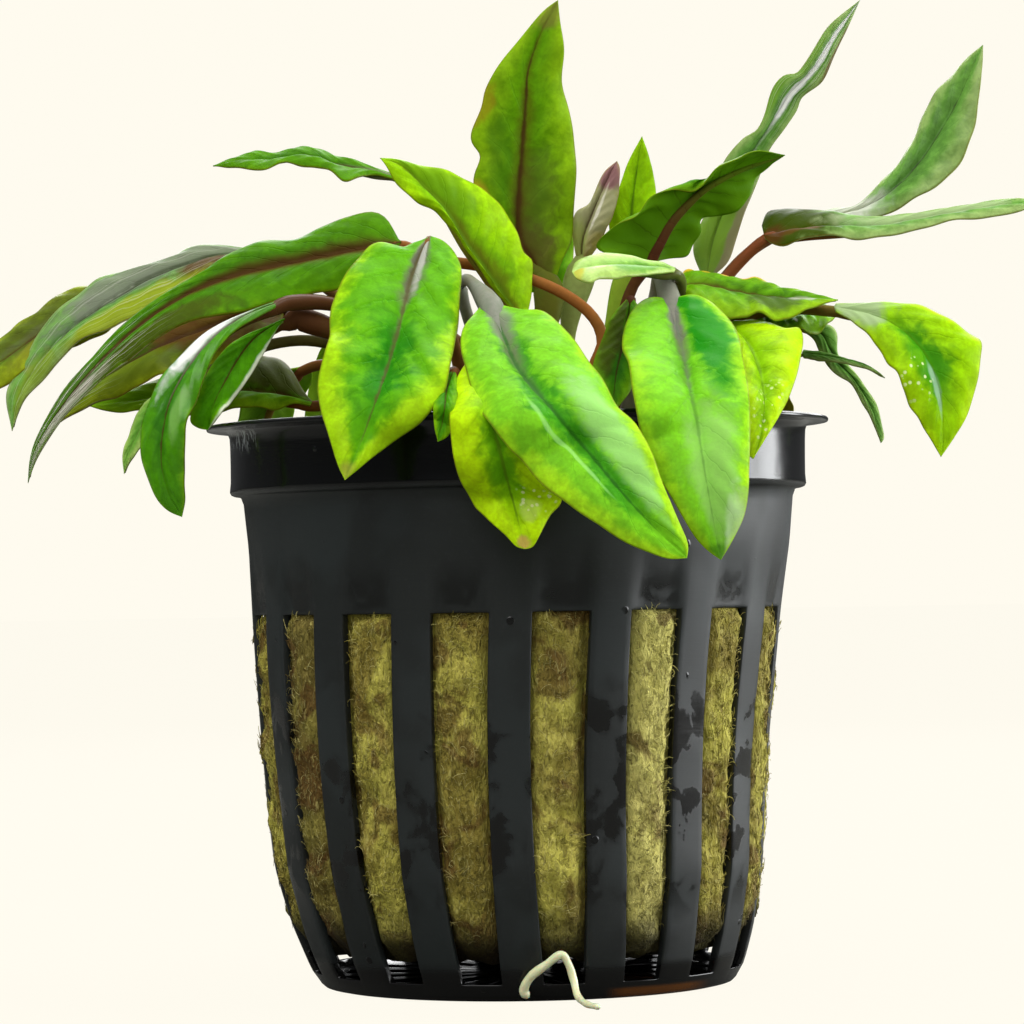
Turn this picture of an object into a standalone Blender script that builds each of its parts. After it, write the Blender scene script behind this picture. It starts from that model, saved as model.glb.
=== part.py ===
"""Potted cryptocoryne: an aquarium plant in a slotted net pot filled with rock wool.

Millimetres in the tables, metres in the meshes. The origin is the centre of the pot's base.
The front of the pot faces -Y and +Z is up.
"""

import math
from collections import namedtuple

import bmesh
import bpy
from mathutils import Vector

MM = 0.001

# Pot, in millimetres
RIB_COUNT = 17
RIB_HALF_WIDTH = 1.78
RIB_MOST_ANGLE = 5.3
POT_TURN = -1.4
WALL = 0.8
FLOOR = 1.0
DISC_RADIUS = 7.0
SPOKE_END_RADIUS = 16.0
BASE_RADIUS = 17.9
SLOT_BOTTOM = 1.5
SLOT_TOP = 32.3
STEP_HEIGHT = 42.4
BAND_BOTTOM = 42.7
BAND_RADIUS = 25.0
BAND_FLARE = 0.1
FLANGE_BOTTOM = 48.2
FLANGE_TOP = 48.7
FLANGE_RADIUS = 27.1
FLANGE_RISE = 0.1
LEAN = 0.2
SWAY = 0.75
SWAY_HEIGHT = 38.0

# Outer radius of the wall at each height, from the base up to the step under the band
WALL_PROFILE = [
    (18.3, 0.6),
    (18.8, SLOT_BOTTOM),
    (20.0, 5.0),
    (21.25, 10.5),
    (22.0, 20.0),
    (23.0, SLOT_TOP),
    (23.95, STEP_HEIGHT),
]

# Rock wool plug, in millimetres
WOOL_GAP = 0.35
WOOL_BOTTOM = 3.4
WOOL_TOP = 44.0
WOOL_EDGE_ANGLE = 6.2
WOOL_BULGE_ANGLE = 8.5
WOOL_BULGE = 0.15
WOOL_ROUNDING = 1.4

# Height of each ring of the plug, and whether it swells into the slots there
WOOL_RINGS = [
    (WOOL_BOTTOM, False),
    (WOOL_BOTTOM + WOOL_ROUNDING, True),
    (12.0, True),
    (22.0, True),
    (SLOT_TOP - 2.2, True),
    (SLOT_TOP - 0.4, False),
    (WOOL_TOP, False),
]

# Crowns: the place on the wool, and the common form of the short rhizome
CROWN_RADIUS = 2.0
CROWN_GAP = 0.3
CROWN_FOOT = WOOL_TOP + CROWN_GAP
CROWN_PROFILE = [(1.5, 0.0), (2.0, 1.2), (1.9, 3.2), (1.1, 4.8)]
CROWN_SIDES = 10
CROWNS = {
    "right": (9.0, 0.0),
    "left": (-2.0, -1.0),
    "rear_left": (-5.0, 8.5),
    "rear_right": (5.5, 12.0),
}

# The readings of the plant were taken from the front: across and up in the plane of the pot's
# axis. At another depth they shrink or grow with the distance to the eye.
VIEW_DISTANCE = 362.0
EYE_ACROSS = -0.8
EYE_UP = 34.1

# Leaf blades and petioles
PETIOLE_RADIUS = 0.52
PETIOLE_STEP = 6.0
BLADE_HALF_THICKNESS = 0.22
BLADE_STATIONS = (0.0, 0.07, 0.18, 0.33, 0.5, 0.68, 0.85)
FLAT_SHARE = 0.18
TIP_POWER = 0.85
SMOOTH_STEPS = 8

# A ring round a petiole or a blade: the sides and the middles, with four corners between them.
# On the round petiole a corner lies as far across as up. On a blade it lies nearer the midrib.
STEM_CORNER_ACROSS = 0.71
BLADE_CORNER_ACROSS = 0.55
CORNER_LIFT = 0.75
RING_SIDES = 8

# Edges that turn more than this stay sharp
SHARP_ANGLE = 35

Leaf = namedtuple("Leaf", "name crown bearing lift petiole blade width faces fold cup base colour")


def leaf(
    name, root, petiole, blade, width, faces, fold=0.12, cup=0.12, base=0.55, colour="leaf_green"
):
    """One row of the leaf table.

    root is the crown, the bearing in degrees from +X and the height of the petiole's foot above
    the crown's foot. petiole and blade are points (across, depth, up) seen from the front. faces
    are the directions that the upper side looks in, from the blade's base to its tip. fold lifts
    both margins in a straight V and cup bends them down. A lower base makes a rounder blade foot.
    """
    crown, bearing, lift = root
    return Leaf(name, crown, bearing, lift, petiole, blade, width, faces, fold, cup, base, colour)


LEAVES = [
    # Tall and upright leaves in the middle
    leaf(
        "leaf_tall_centre",
        ("left", 50, 3.0),
        [(1.2, 3.4, 53), (2.5, 4.3, 57.5)],
        [(2.4, 4.5, 60.5), (1.0, 4.2, 66), (0.7, 3.6, 72), (1.5, 3.2, 78.5), (4.1, 3.2, 85.8)],
        9.4,
        [(0.1, -1, 0.2)],
    ),
    leaf(
        "leaf_lime_arching",
        ("left", 340, 3.2),
        [(1.7, -2.4, 51.2)],
        [
            (1.2, -3, 54),
            (-0.3, -3.6, 57.5),
            (-2.6, -4, 61.5),
            (-4.7, -4.5, 64.8),
            (-7, -5, 68.2),
            (-9.6, -5.5, 71),
            (-11.8, -6, 72.4),
        ],
        8.4,
        [(0.45, -1, 0.36)],
        fold=0.6,
        colour="leaf_lime",
    ),
    leaf(
        "leaf_thin_upper_left",
        ("rear_left", 20, 3.0),
        [(-1.0, 9.4, 55), (-2.2, 9, 61), (-4.6, 8.6, 65.5), (-7.6, 8.2, 68.8)],
        [
            (-11, 7.6, 70.7),
            (-15, 7, 71.2),
            (-18.5, 6.4, 72.4),
            (-22, 6, 72.2),
            (-26.2, 5.5, 71.6),
        ],
        5.2,
        [(0, -0.42, 0.9)],
    ),
    leaf(
        "leaf_pale_bud",
        ("rear_right", 235, 3.2),
        [(4.3, 8, 53), (4.6, 7, 58)],
        [(5.1, 6.6, 61), (6.0, 6.2, 65), (7.4, 6, 68.6), (8.9, 6, 71.3)],
        3.6,
        [(-0.3, -1, 0.1)],
        fold=0.35,
        colour="leaf_brown",
    ),
    leaf(
        "leaf_lime_bud",
        ("rear_right", 275, 3.4),
        [(7.4, 8.3, 54), (9.0, 8, 60)],
        [(9.6, 8, 63), (10.2, 8, 67), (10.6, 8, 70), (11.2, 8, 73.4)],
        4.4,
        [(0.1, -1, 0.1)],
        colour="leaf_lime",
    ),
    # Long leaves to the left
    leaf(
        "leaf_long_left",
        ("right", 190, 3.0),
        [
            (6.6, -1.4, 52.5),
            (7.4, -1.6, 55.6),
            (6.5, -1.4, 57.9),
            (4.2, -1.0, 59.8),
            (1.2, -0.4, 61.2),
            (-3, 0.2, 62.4),
            (-7, 0.2, 63.1),
        ],
        [
            (-10, 0, 63.8),
            (-15, -0.6, 64.2),
            (-20, -1.2, 63.2),
            (-25, -2, 61.8),
            (-30, -3, 59.6),
            (-35, -4, 56.8),
            (-39, -5, 53),
            (-41.6, -5.6, 48.6),
            (-42.8, -6, 43.2),
        ],
        9.6,
        [(0, -0.8, 0.6), (-0.2, -0.62, 0.75), (-0.9, -0.1, 0.4)],
        base=0.3,
    ),
    leaf(
        "leaf_gray_left",
        ("rear_left", 160, 3.0),
        [(-12, 9.4, 56), (-17, 9.4, 61)],
        [
            (-21, 9, 63.2),
            (-26, 8.6, 63),
            (-31, 8.2, 61.1),
            (-36, 7.8, 58),
            (-41, 7.2, 53.6),
            (-44.1, 6.4, 48.3),
        ],
        6.6,
        [(-0.1, -0.55, 0.82), (-0.5, -0.6, 0.6)],
        colour="leaf_gray",
    ),
    leaf(
        "leaf_far_left",
        ("rear_right", 172, 3.0),
        [(-4, 13.5, 55), (-14, 14, 60.5), (-23, 13.6, 62.4)],
        [(-29, 13, 61.6), (-35, 12.6, 60), (-40.5, 12, 57.2), (-45.2, 11.4, 54), (-49.4, 10.6, 50.6)],
        8.0,
        [(-0.1, -0.5, 0.85), (-0.4, -0.6, 0.6)],
        colour="leaf_olive",
    ),
    leaf(
        "leaf_olive_left",
        ("rear_left", 185, 2.2),
        [(-12, 6.6, 54), (-17, 5.2, 57.4)],
        [(-21, 4.4, 58.2), (-26, 3.4, 57), (-31, 2.4, 55), (-36, 1.2, 52.2), (-41.3, 0, 47.8)],
        6.4,
        [(0.1, 0.5, 0.85), (-0.3, 0.5, 0.8)],
        colour="leaf_olive",
    ),
    leaf(
        "leaf_rim_left",
        ("rear_left", 200, 1.0),
        [(-11.5, 6.6, 49.6), (-15.4, 5.8, 50.5)],
        [(-18, 5.4, 50.9), (-22.5, 5, 51.9), (-27.5, 4.8, 52.2), (-32.5, 4.8, 51.6), (-37.6, 4.8, 50.5)],
        6.4,
        [(0, -0.6, 0.8)],
    ),
    leaf(
        "leaf_hanging_left",
        ("left", 195, 3.0),
        [(-8, -2.6, 54), (-12.5, -4, 58), (-16.5, -5, 59.4)],
        [
            (-20, -6, 59),
            (-24, -8, 57.3),
            (-28, -9.6, 54.1),
            (-30.7, -10.8, 50),
            (-31.4, -11.6, 46),
            (-30.5, -12, 43),
            (-28.8, -12, 40.2),
        ],
        5.4,
        [(-0.3, -0.7, 0.65), (-0.4, -0.9, 0.2)],
    ),
    leaf(
        "leaf_short_left",
        ("left", 205, 1.2),
        [(-8, -3.4, 51), (-12, -4, 55), (-16, -4.2, 57)],
        [(-19, -4.4, 57.4), (-22, -5.2, 56), (-24.8, -6.6, 53.4), (-26.6, -8.6, 50.8), (-27.2, -10, 48.1)],
        4.6,
        [(0.1, -0.75, 0.6), (0.2, -0.95, 0.2)],
    ),
    leaf(
        "leaf_small_hanging_left",
        ("rear_left", 215, 2.6),
        [(-11.5, 3.2, 53.4), (-17, 1.0, 56), (-22, -0.8, 55.8), (-26, -1.8, 53.8)],
        [(-28.5, -2.4, 52.2), (-31.4, -3, 49.6), (-33.3, -3.5, 46.8), (-34.1, -4, 44)],
        2.6,
        [(-0.3, -0.8, 0.4)],
        colour="leaf_gray",
    ),
    # Broad leaves that hang over the front of the rim
    leaf(
        "leaf_front_left",
        ("left", 225, 3.2),
        [(-5.2, -4.2, 54), (-6.6, -5.8, 60), (-7.4, -7.4, 63.4)],
        [
            (-8.1, -9.8, 64.3),
            (-9.6, -13, 62.7),
            (-10.9, -17.4, 59.6),
            (-11.9, -21.8, 55.8),
            (-12.7, -25.4, 52),
            (-13.6, -27.6, 48.4),
            (-14.8, -28.4, 44.4),
        ],
        11.4,
        [(0, -0.7, 0.7), (-0.1, -0.9, 0.4), (0, -1, 0.1)],
        cup=0.14,
        base=0.42,
    ),
    leaf(
        "leaf_front_lime",
        ("left", 300, 2.2),
        [(-0.8, -6, 50.6), (-1.4, -9.4, 54)],
        [
            (-1.9, -13, 54.6),
            (-2.2, -18.4, 53.6),
            (-2.1, -23.8, 52.2),
            (-1.9, -28.7, 49.5),
            (-1.5, -29.6, 46),
            (-0.9, -29.6, 42),
            (0.4, -29.2, 37.5),
        ],
        9.2,
        [(0, -0.7, 0.7), (0, -1, 0.1)],
        cup=0,
        fold=0,
        colour="leaf_lime",
    ),
    leaf(
        "leaf_front_centre",
        ("left", 268, 3.4),
        [(-3.2, -5.4, 54), (-4.7, -7.6, 59.4), (-4.4, -9, 61.3)],
        [
            (-2.6, -12, 59.2),
            (-0.6, -18.4, 55.6),
            (1.4, -26.2, 52.6),
            (4, -31.2, 48.6),
            (7.6, -33.6, 44.4),
            (11.3, -34.4, 40.2),
            (14.6, -34, 36.4),
        ],
        10.2,
        [(0.1, -0.75, 0.65), (0.1, -0.95, 0.3)],
        cup=0.16,
        base=0.45,
    ),
    leaf(
        "leaf_front_right",
        ("right", 285, 3.4),
        [(10.6, -5, 54), (12, -7, 59.5), (12.6, -8.8, 61.2)],
        [
            (13.2, -11, 60),
            (14.2, -16, 56),
            (15, -23.2, 51.6),
            (15.6, -28, 47.4),
            (16.4, -30, 42.2),
            (17.8, -30.2, 36.3),
        ],
        10.2,
        [(0, -0.75, 0.65), (0.05, -1, 0.2)],
        cup=0.1,
        base=0.42,
    ),
    leaf(
        "leaf_lime_right",
        ("right", 318, 0.8),
        [(14, -5.4, 53), (17, -7.4, 56.6)],
        [(18.6, -9, 57.2), (20.8, -13, 55.4), (21.7, -17, 52), (21.4, -20.6, 48), (20, -22.6, 43.6)],
        6.8,
        [(0.3, -0.7, 0.65), (0.3, -0.95, 0.1)],
        colour="leaf_lime",
    ),
    leaf(
        "leaf_behind_front_left",
        ("left", 245, 1.2),
        [(-4.8, -8, 50.6), (-5.6, -14, 53)],
        [(-5.9, -18, 52.8), (-6.5, -23, 51.6), (-7.0, -27.2, 50.2), (-7.1, -28.2, 47)],
        2.6,
        [(0, -0.8, 0.6), (0, -1, 0.1)],
    ),
    leaf(
        "leaf_dark_middle",
        ("right", 240, 1.4),
        [(7.6, -4.4, 50.6), (8.2, -6, 55)],
        [(9.4, -7.8, 58.4), (9.7, -9.8, 58.6), (9.2, -12, 56), (8.4, -14, 53.2), (7.7, -15.4, 50.6)],
        3.8,
        [(0.1, -0.8, 0.6), (0.1, -0.95, 0.2)],
    ),
    # Leaves to the right
    leaf(
        "leaf_foreshortened",
        ("right", 306, 3.0),
        [(11.4, -3.8, 51), (13.4, -5.6, 56.6), (14.5, -8.2, 60.6)],
        [(14.4, -11, 61.9), (11.4, -12.6, 62.5), (8.4, -14, 62.5), (5.0, -15.4, 61.3)],
        5.0,
        [(0, -0.38, 0.92)],
        colour="leaf_pale",
    ),
    leaf(
        "leaf_dark_rib_right",
        ("right", 85, 3.4),
        [(8.8, 2.6, 53), (9.0, 2.2, 57), (10.1, 2, 60.4)],
        [(11.5, 2, 62.3), (13.4, 2, 64.7), (15.9, 2.2, 67.1), (19.6, 2.8, 69.6), (23.9, 3.6, 71.3)],
        7.8,
        [(-0.35, 0.8, 0.5), (-0.65, 0.3, 0.65)],
        cup=-0.1,
    ),
    leaf(
        "leaf_tall_right",
        ("right", 60, 2.0),
        [(13.6, 5.2, 53), (16.0, 6, 58)],
        [
            (17.2, 6.2, 61.4),
            (18.4, 6.2, 65.6),
            (20.2, 6.2, 70.8),
            (22.9, 6.2, 75.6),
            (26.4, 6.4, 80),
            (30.6, 6.8, 85.4),
        ],
        4.4,
        [(-0.3, -0.95, 0), (0.7, -0.5, 0.2), (0.6, -0.6, 0.2)],
        fold=0.3,
    ),
    leaf(
        "leaf_gray_green_right",
        ("right", 35, 3.0),
        [(15.4, 3.6, 57), (19.6, 4.4, 62.6), (23.8, 4.8, 65.2)],
        [(28, 5, 66.1), (33, 5, 68), (37, 5, 71.9), (39.6, 5, 76.2), (41.2, 5, 80.9)],
        6.8,
        [(-0.5, -0.75, 0.45)],
        colour="leaf_gray",
    ),
    leaf(
        "leaf_level_right",
        ("right", 12, 3.2),
        [(15.0, 0.4, 56.4), (19.2, 0.2, 61.4)],
        [(22.6, 0, 63.8), (28, -0.4, 65), (34, -0.6, 65.4), (40, -0.2, 66.2), (45.4, 0.4, 66.7)],
        4.2,
        [(0, -0.4, 0.92)],
    ),
    leaf(
        "leaf_hanging_right",
        ("right", 340, 3.0),
        [(14.6, -2.2, 54.6), (19.4, -3.6, 57.4), (23.6, -4.6, 58.2)],
        [(26.6, -5.4, 58.2), (32, -7, 57), (36.2, -8.6, 53.6), (37.4, -9.8, 49.6), (36.8, -10.4, 44.5)],
        8.2,
        [(-0.1, -0.6, 0.8), (0.2, -0.95, 0.3)],
        colour="leaf_lime",
    ),
    leaf(
        "leaf_olive_right",
        ("right", 327, 4.6),
        [(11.8, -3.2, 55), (12.6, -4.2, 59.2)],
        [(13.8, -5, 60.3), (18.5, -5.8, 60.6), (23, -6.6, 59.8), (27.8, -7.4, 58.7)],
        5.0,
        [(0, -0.4, 0.92)],
        colour="leaf_olive",
    ),
    leaf(
        "leaf_dark_right",
        ("right", 346, 0.2),
        [(14.6, -0.4, 52.6), (19, -0.8, 56.4)],
        [(19.8, -1, 57.6), (24, -1.4, 57.8), (28.4, -1.8, 57.2)],
        3.2,
        [(0, -0.4, 0.92)],
        colour="leaf_green",
    ),
    leaf(
        "leaf_twisted_right",
        ("right", 26, 1.0),
        [(15.4, 2.6, 52.4), (20, 2.8, 55.8), (24.2, 2.4, 56.6)],
        [(26.6, 1.8, 55.6), (27.2, 1.2, 53.6), (29, 0.6, 51.2), (30.6, 0, 49), (31.5, -0.4, 46)],
        2.4,
        [(0.3, -0.8, 0.5), (0.5, -0.85, 0.1)],
    ),
    leaf(
        "leaf_whisker_right",
        ("right", 8, 0.2),
        [(14.6, 0.6, 49.6), (19.6, 0.8, 52.8)],
        [(22.6, 0.6, 54), (27.4, -0.6, 53.4), (31.8, -1.2, 51.7)],
        1.5,
        [(0, -0.6, 0.8)],
    ),
    # Leaves behind, which the front view hides
    leaf(
        "leaf_back_left",
        ("rear_left", 100, 3.0),
        [(-7, 14, 55), (-8.6, 18, 58.6)],
        [(-9.8, 21, 58.6), (-12.4, 25, 56.6), (-15, 28, 52), (-16.8, 29.6, 46.6), (-17.6, 30, 41.2)],
        7.4,
        [(0, 0.6, 0.8), (-0.1, 1, 0.1)],
    ),
    leaf(
        "leaf_back_centre",
        ("rear_left", 62, 2.4),
        [(-2.4, 14.6, 54), (-1.6, 18.6, 57)],
        [(-1.2, 22, 57), (0.2, 26.8, 54.6), (0.8, 30.2, 49.4), (0.2, 31.8, 43), (-1.6, 32.2, 36.4)],
        9.2,
        [(0, 0.6, 0.8), (0, 1, 0.1)],
        colour="leaf_lime",
    ),
    leaf(
        "leaf_back_right",
        ("rear_right", 60, 3.2),
        [(9.2, 17.4, 54.6), (11, 20.4, 57.4)],
        [(12.2, 23, 57.2), (13.2, 26.4, 55.6), (14.6, 29.2, 51.6), (14.8, 30.6, 46.2), (13.6, 31, 40.6)],
        7.8,
        [(0.1, 0.6, 0.8), (0.1, 1, 0.1)],
    ),
    leaf(
        "leaf_back_far_right",
        ("rear_right", 25, 2.0),
        [(13, 15.6, 53.4), (16.4, 17.8, 55.6)],
        [(18.6, 19.6, 55.2), (20.6, 22.6, 52.4), (21.4, 25, 48), (21.4, 26.2, 42)],
        6.6,
        [(0.5, 0.5, 0.7), (0.6, 0.8, 0.1)],
        colour="leaf_olive",
    ),
    leaf(
        "leaf_back_far_left",
        ("rear_left", 135, 1.8),
        [(-12, 14.6, 52.4), (-16.6, 17.6, 54)],
        [(-19, 19.4, 53.8), (-21.4, 22, 51.4), (-22.8, 24, 47), (-23, 25, 41.6)],
        6.4,
        [(-0.5, 0.5, 0.7), (-0.6, 0.8, 0.1)],
    ),
    leaf(
        "leaf_back_upright",
        ("rear_right", 105, 3.4),
        [(3.6, 16, 53), (2.6, 17.6, 57)],
        [(2.2, 18.4, 60), (1.6, 19.4, 64.5), (1.2, 20.8, 69), (1.4, 22.6, 73.4)],
        7.0,
        [(0.1, -1, 0.5)],
    ),
]

# Root: a loop that leans on the slot, with one leg at the pot's foot and one out on the ground
ROOT_PATH = [
    (-0.2, -19.2, 0.5),
    (-0.5, -19.4, 1.2),
    (0.1, -19.9, 2.3),
    (1.4, -20.3, 3.3),
    (2.6, -20.6, 4.1),
    (3.2, -20.5, 3.3),
    (3.6, -20.6, 2.0),
    (3.9, -21.6, 0.8),
    (4.6, -24.0, 0.36),
    (5.6, -26.4, 0.34),
]
ROOT_START_RADIUS = 0.38
ROOT_END_RADIUS = 0.22
ROOT_STEPS = 2
ROOT_SIDES = 6
ROOT_SIDE_HINT = Vector((0, 1, 0.2))

COLOURS = {
    "pot": ((0.012, 0.013, 0.016), 0.32),
    "wool": ((0.30, 0.25, 0.07), 0.95),
    "crown": ((0.12, 0.06, 0.03), 0.6),
    "root": ((0.75, 0.74, 0.55), 0.4),
    "leaf_green": ((0.10, 0.30, 0.015), 0.35),
    "leaf_lime": ((0.30, 0.50, 0.01), 0.35),
    "leaf_pale": ((0.35, 0.55, 0.15), 0.35),
    "leaf_olive": ((0.20, 0.20, 0.02), 0.4),
    "leaf_gray": ((0.16, 0.24, 0.10), 0.35),
    "leaf_brown": ((0.28, 0.20, 0.10), 0.4),
}


def seen(across, depth, up):
    """The real place of a reading from the front view, at its depth."""
    scale = 1 + depth / VIEW_DISTANCE
    return Vector((EYE_ACROSS + (across - EYE_ACROSS) * scale, depth, EYE_UP + (up - EYE_UP) * scale))


def material(name):
    if name in bpy.data.materials:
        return bpy.data.materials[name]
    colour, roughness = COLOURS[name]
    made = bpy.data.materials.new(name)
    made.use_nodes = True
    shader = made.node_tree.nodes["Principled BSDF"]
    shader.inputs["Base Color"].default_value = (*colour, 1)
    shader.inputs["Roughness"].default_value = roughness
    shader.inputs["Metallic"].default_value = 0
    return made


def add_object(name, points, faces, colour):
    """A mesh object from points in millimetres, with its faces turned outwards."""
    mesh = bpy.data.meshes.new(name)
    mesh.from_pydata([Vector(p) * MM for p in points], [], faces)
    tidy = bmesh.new()
    tidy.from_mesh(mesh)
    bmesh.ops.recalc_face_normals(tidy, faces=tidy.faces)
    tidy.to_mesh(mesh)
    tidy.free()
    mesh.shade_smooth()
    mesh.set_sharp_from_angle(angle=math.radians(SHARP_ANGLE))
    mesh.materials.append(material(colour))
    made = bpy.data.objects.new(name, mesh)
    bpy.context.scene.collection.objects.link(made)
    return made


def tube_faces(rings, sides):
    """Faces of a closed tube whose points come ring by ring."""
    faces = [list(range(sides)), list(range((rings - 1) * sides, rings * sides))]
    for ring in range(rings - 1):
        for side in range(sides):
            a = ring * sides + side
            b = ring * sides + (side + 1) % sides
            faces.append([a, b, b + sides, a + sides])
    return faces


def smooth_path(points, steps):
    """Points on a smooth curve through the given ones, with steps stretches between each two."""
    ends = [points[0] * 2 - points[1]] + list(points) + [points[-1] * 2 - points[-2]]
    path = []
    for before, start, end, after in zip(ends, ends[1:], ends[2:], ends[3:]):
        for step in range(steps):
            t = step / steps
            path.append(
                0.5
                * (
                    2 * start
                    + (end - before) * t
                    + (2 * before - 5 * start + 4 * end - after) * t**2
                    + (3 * start - before - 3 * end + after) * t**3
                )
            )
    path.append(points[-1])
    return path


def lengths_along(path):
    total = [0.0]
    for start, end in zip(path, path[1:]):
        total.append(total[-1] + (end - start).length)
    return total


def place_at(path, lengths, distance):
    """The point and direction of a path at a distance along it."""
    index = 1
    while index < len(path) - 1 and lengths[index] < distance:
        index += 1
    span = lengths[index] - lengths[index - 1]
    share = min(1.0, max(0.0, (distance - lengths[index - 1]) / span))
    point = path[index - 1].lerp(path[index], share)
    before = path[max(0, index - 2)]
    after = path[min(len(path) - 1, index + 1)]
    return point, (after - before).normalized()


def blend_faces(faces, share):
    """The direction that the upper side looks in, at a share of the blade's length."""
    if len(faces) == 1:
        return Vector(faces[0])
    place = min(max(share, 0.0), 1.0) * (len(faces) - 1)
    index = min(int(place), len(faces) - 2)
    return Vector(faces[index]).lerp(Vector(faces[index + 1]), place - index)


def blade_shape(share, base):
    """Half width of a blade at a share of its length, as a share of its greatest half width."""
    peak = base / (base + TIP_POWER)
    top = peak**base * (1 - peak) ** TIP_POWER
    return share**base * (1 - share) ** TIP_POWER / top


def petiole_foot(row):
    across, depth = CROWNS[row.crown]
    reach = CROWN_RADIUS + CROWN_GAP + PETIOLE_RADIUS
    angle = math.radians(row.bearing)
    return Vector(
        (across + reach * math.cos(angle), depth + reach * math.sin(angle), CROWN_FOOT + row.lift)
    )


def add_leaf(row):
    """A blade and its petiole as one loft of eight-sided rings along the leaf's own line."""
    blade = [seen(*point) for point in row.blade]
    stem = [petiole_foot(row)] + [seen(*point) for point in row.petiole]
    path = smooth_path(stem + blade, SMOOTH_STEPS)
    lengths = lengths_along(path)
    start = lengths[len(stem) * SMOOTH_STEPS]
    blade_length = lengths[-1] - start
    stem_rings = max(2, round(start / PETIOLE_STEP))
    distances = [start * i / stem_rings for i in range(stem_rings)]
    distances += [start + share * blade_length for share in BLADE_STATIONS]

    points = []
    for distance in distances:
        point, along = place_at(path, lengths, distance)
        share = max(0.0, (distance - start) / blade_length)
        face = blend_faces(row.faces, share)
        up = (face - along * face.dot(along)).normalized()
        side = along.cross(up)
        flat = min(1.0, share / FLAT_SHARE)
        half_width = max(PETIOLE_RADIUS, row.width / 2 * blade_shape(share, row.base))
        half_height = PETIOLE_RADIUS + (BLADE_HALF_THICKNESS - PETIOLE_RADIUS) * flat
        corner = STEM_CORNER_ACROSS + (BLADE_CORNER_ACROSS - STEM_CORNER_ACROSS) * flat
        ring = [
            (1, 0),
            (corner, CORNER_LIFT),
            (0, 1),
            (-corner, CORNER_LIFT),
            (-1, 0),
            (-corner, -CORNER_LIFT),
            (0, -1),
            (corner, -CORNER_LIFT),
        ]
        for across, lift in ring:
            rise = half_width * flat * (row.fold * abs(across) - row.cup * across**2)
            points.append(point + side * half_width * across + up * (half_height * lift + rise))

    faces = tube_faces(len(distances), RING_SIDES)
    tip = len(points)
    points.append(path[-1])
    last_ring = faces.pop(1)
    for place, corner_point in enumerate(last_ring):
        faces.append([corner_point, last_ring[(place + 1) % RING_SIDES], tip])
    return add_object(row.name, points, faces, row.colour)


def sway(height):
    """How far the soft wall stands to the right of the base's centre at a height."""
    bent = SWAY * math.sin(math.pi * min(height, SWAY_HEIGHT) / SWAY_HEIGHT)
    return -LEAN * min(1.0, height / BAND_BOTTOM) - bent


def ring_point(radius, angle, height):
    turned = math.radians(angle + POT_TURN - 90)
    return (radius * math.cos(turned) + sway(height), radius * math.sin(turned), height)


def wall_radius(height):
    """Outer radius of the wall at a height, read along the profile."""
    profile = [(BASE_RADIUS, 0.0)] + WALL_PROFILE
    for (r0, z0), (r1, z1) in zip(profile, profile[1:]):
        if height <= z1:
            return r0 + (r1 - r0) * (height - z0) / (z1 - z0)
    return profile[-1][0]


def pot_stations():
    """Pairs of outer and inner (radius, height), from the floor's disc out and up to the flange."""
    pairs = [
        ((DISC_RADIUS, 0.0), (DISC_RADIUS, FLOOR)),
        ((SPOKE_END_RADIUS, 0.0), (SPOKE_END_RADIUS, FLOOR)),
        ((BASE_RADIUS, 0.0), (BASE_RADIUS - WALL, FLOOR)),
    ]
    for radius, height in WALL_PROFILE[1:]:
        pairs.append(((radius, height), (radius - WALL, height)))
    pairs.append(((BAND_RADIUS, BAND_BOTTOM), (BAND_RADIUS - WALL, BAND_BOTTOM + WALL)))
    neck = BAND_RADIUS + BAND_FLARE
    pairs.append(((neck, FLANGE_BOTTOM), (neck - WALL, FLANGE_TOP)))
    pairs.append(((FLANGE_RADIUS, FLANGE_BOTTOM + FLANGE_RISE), (FLANGE_RADIUS, FLANGE_TOP)))
    return pairs


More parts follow.
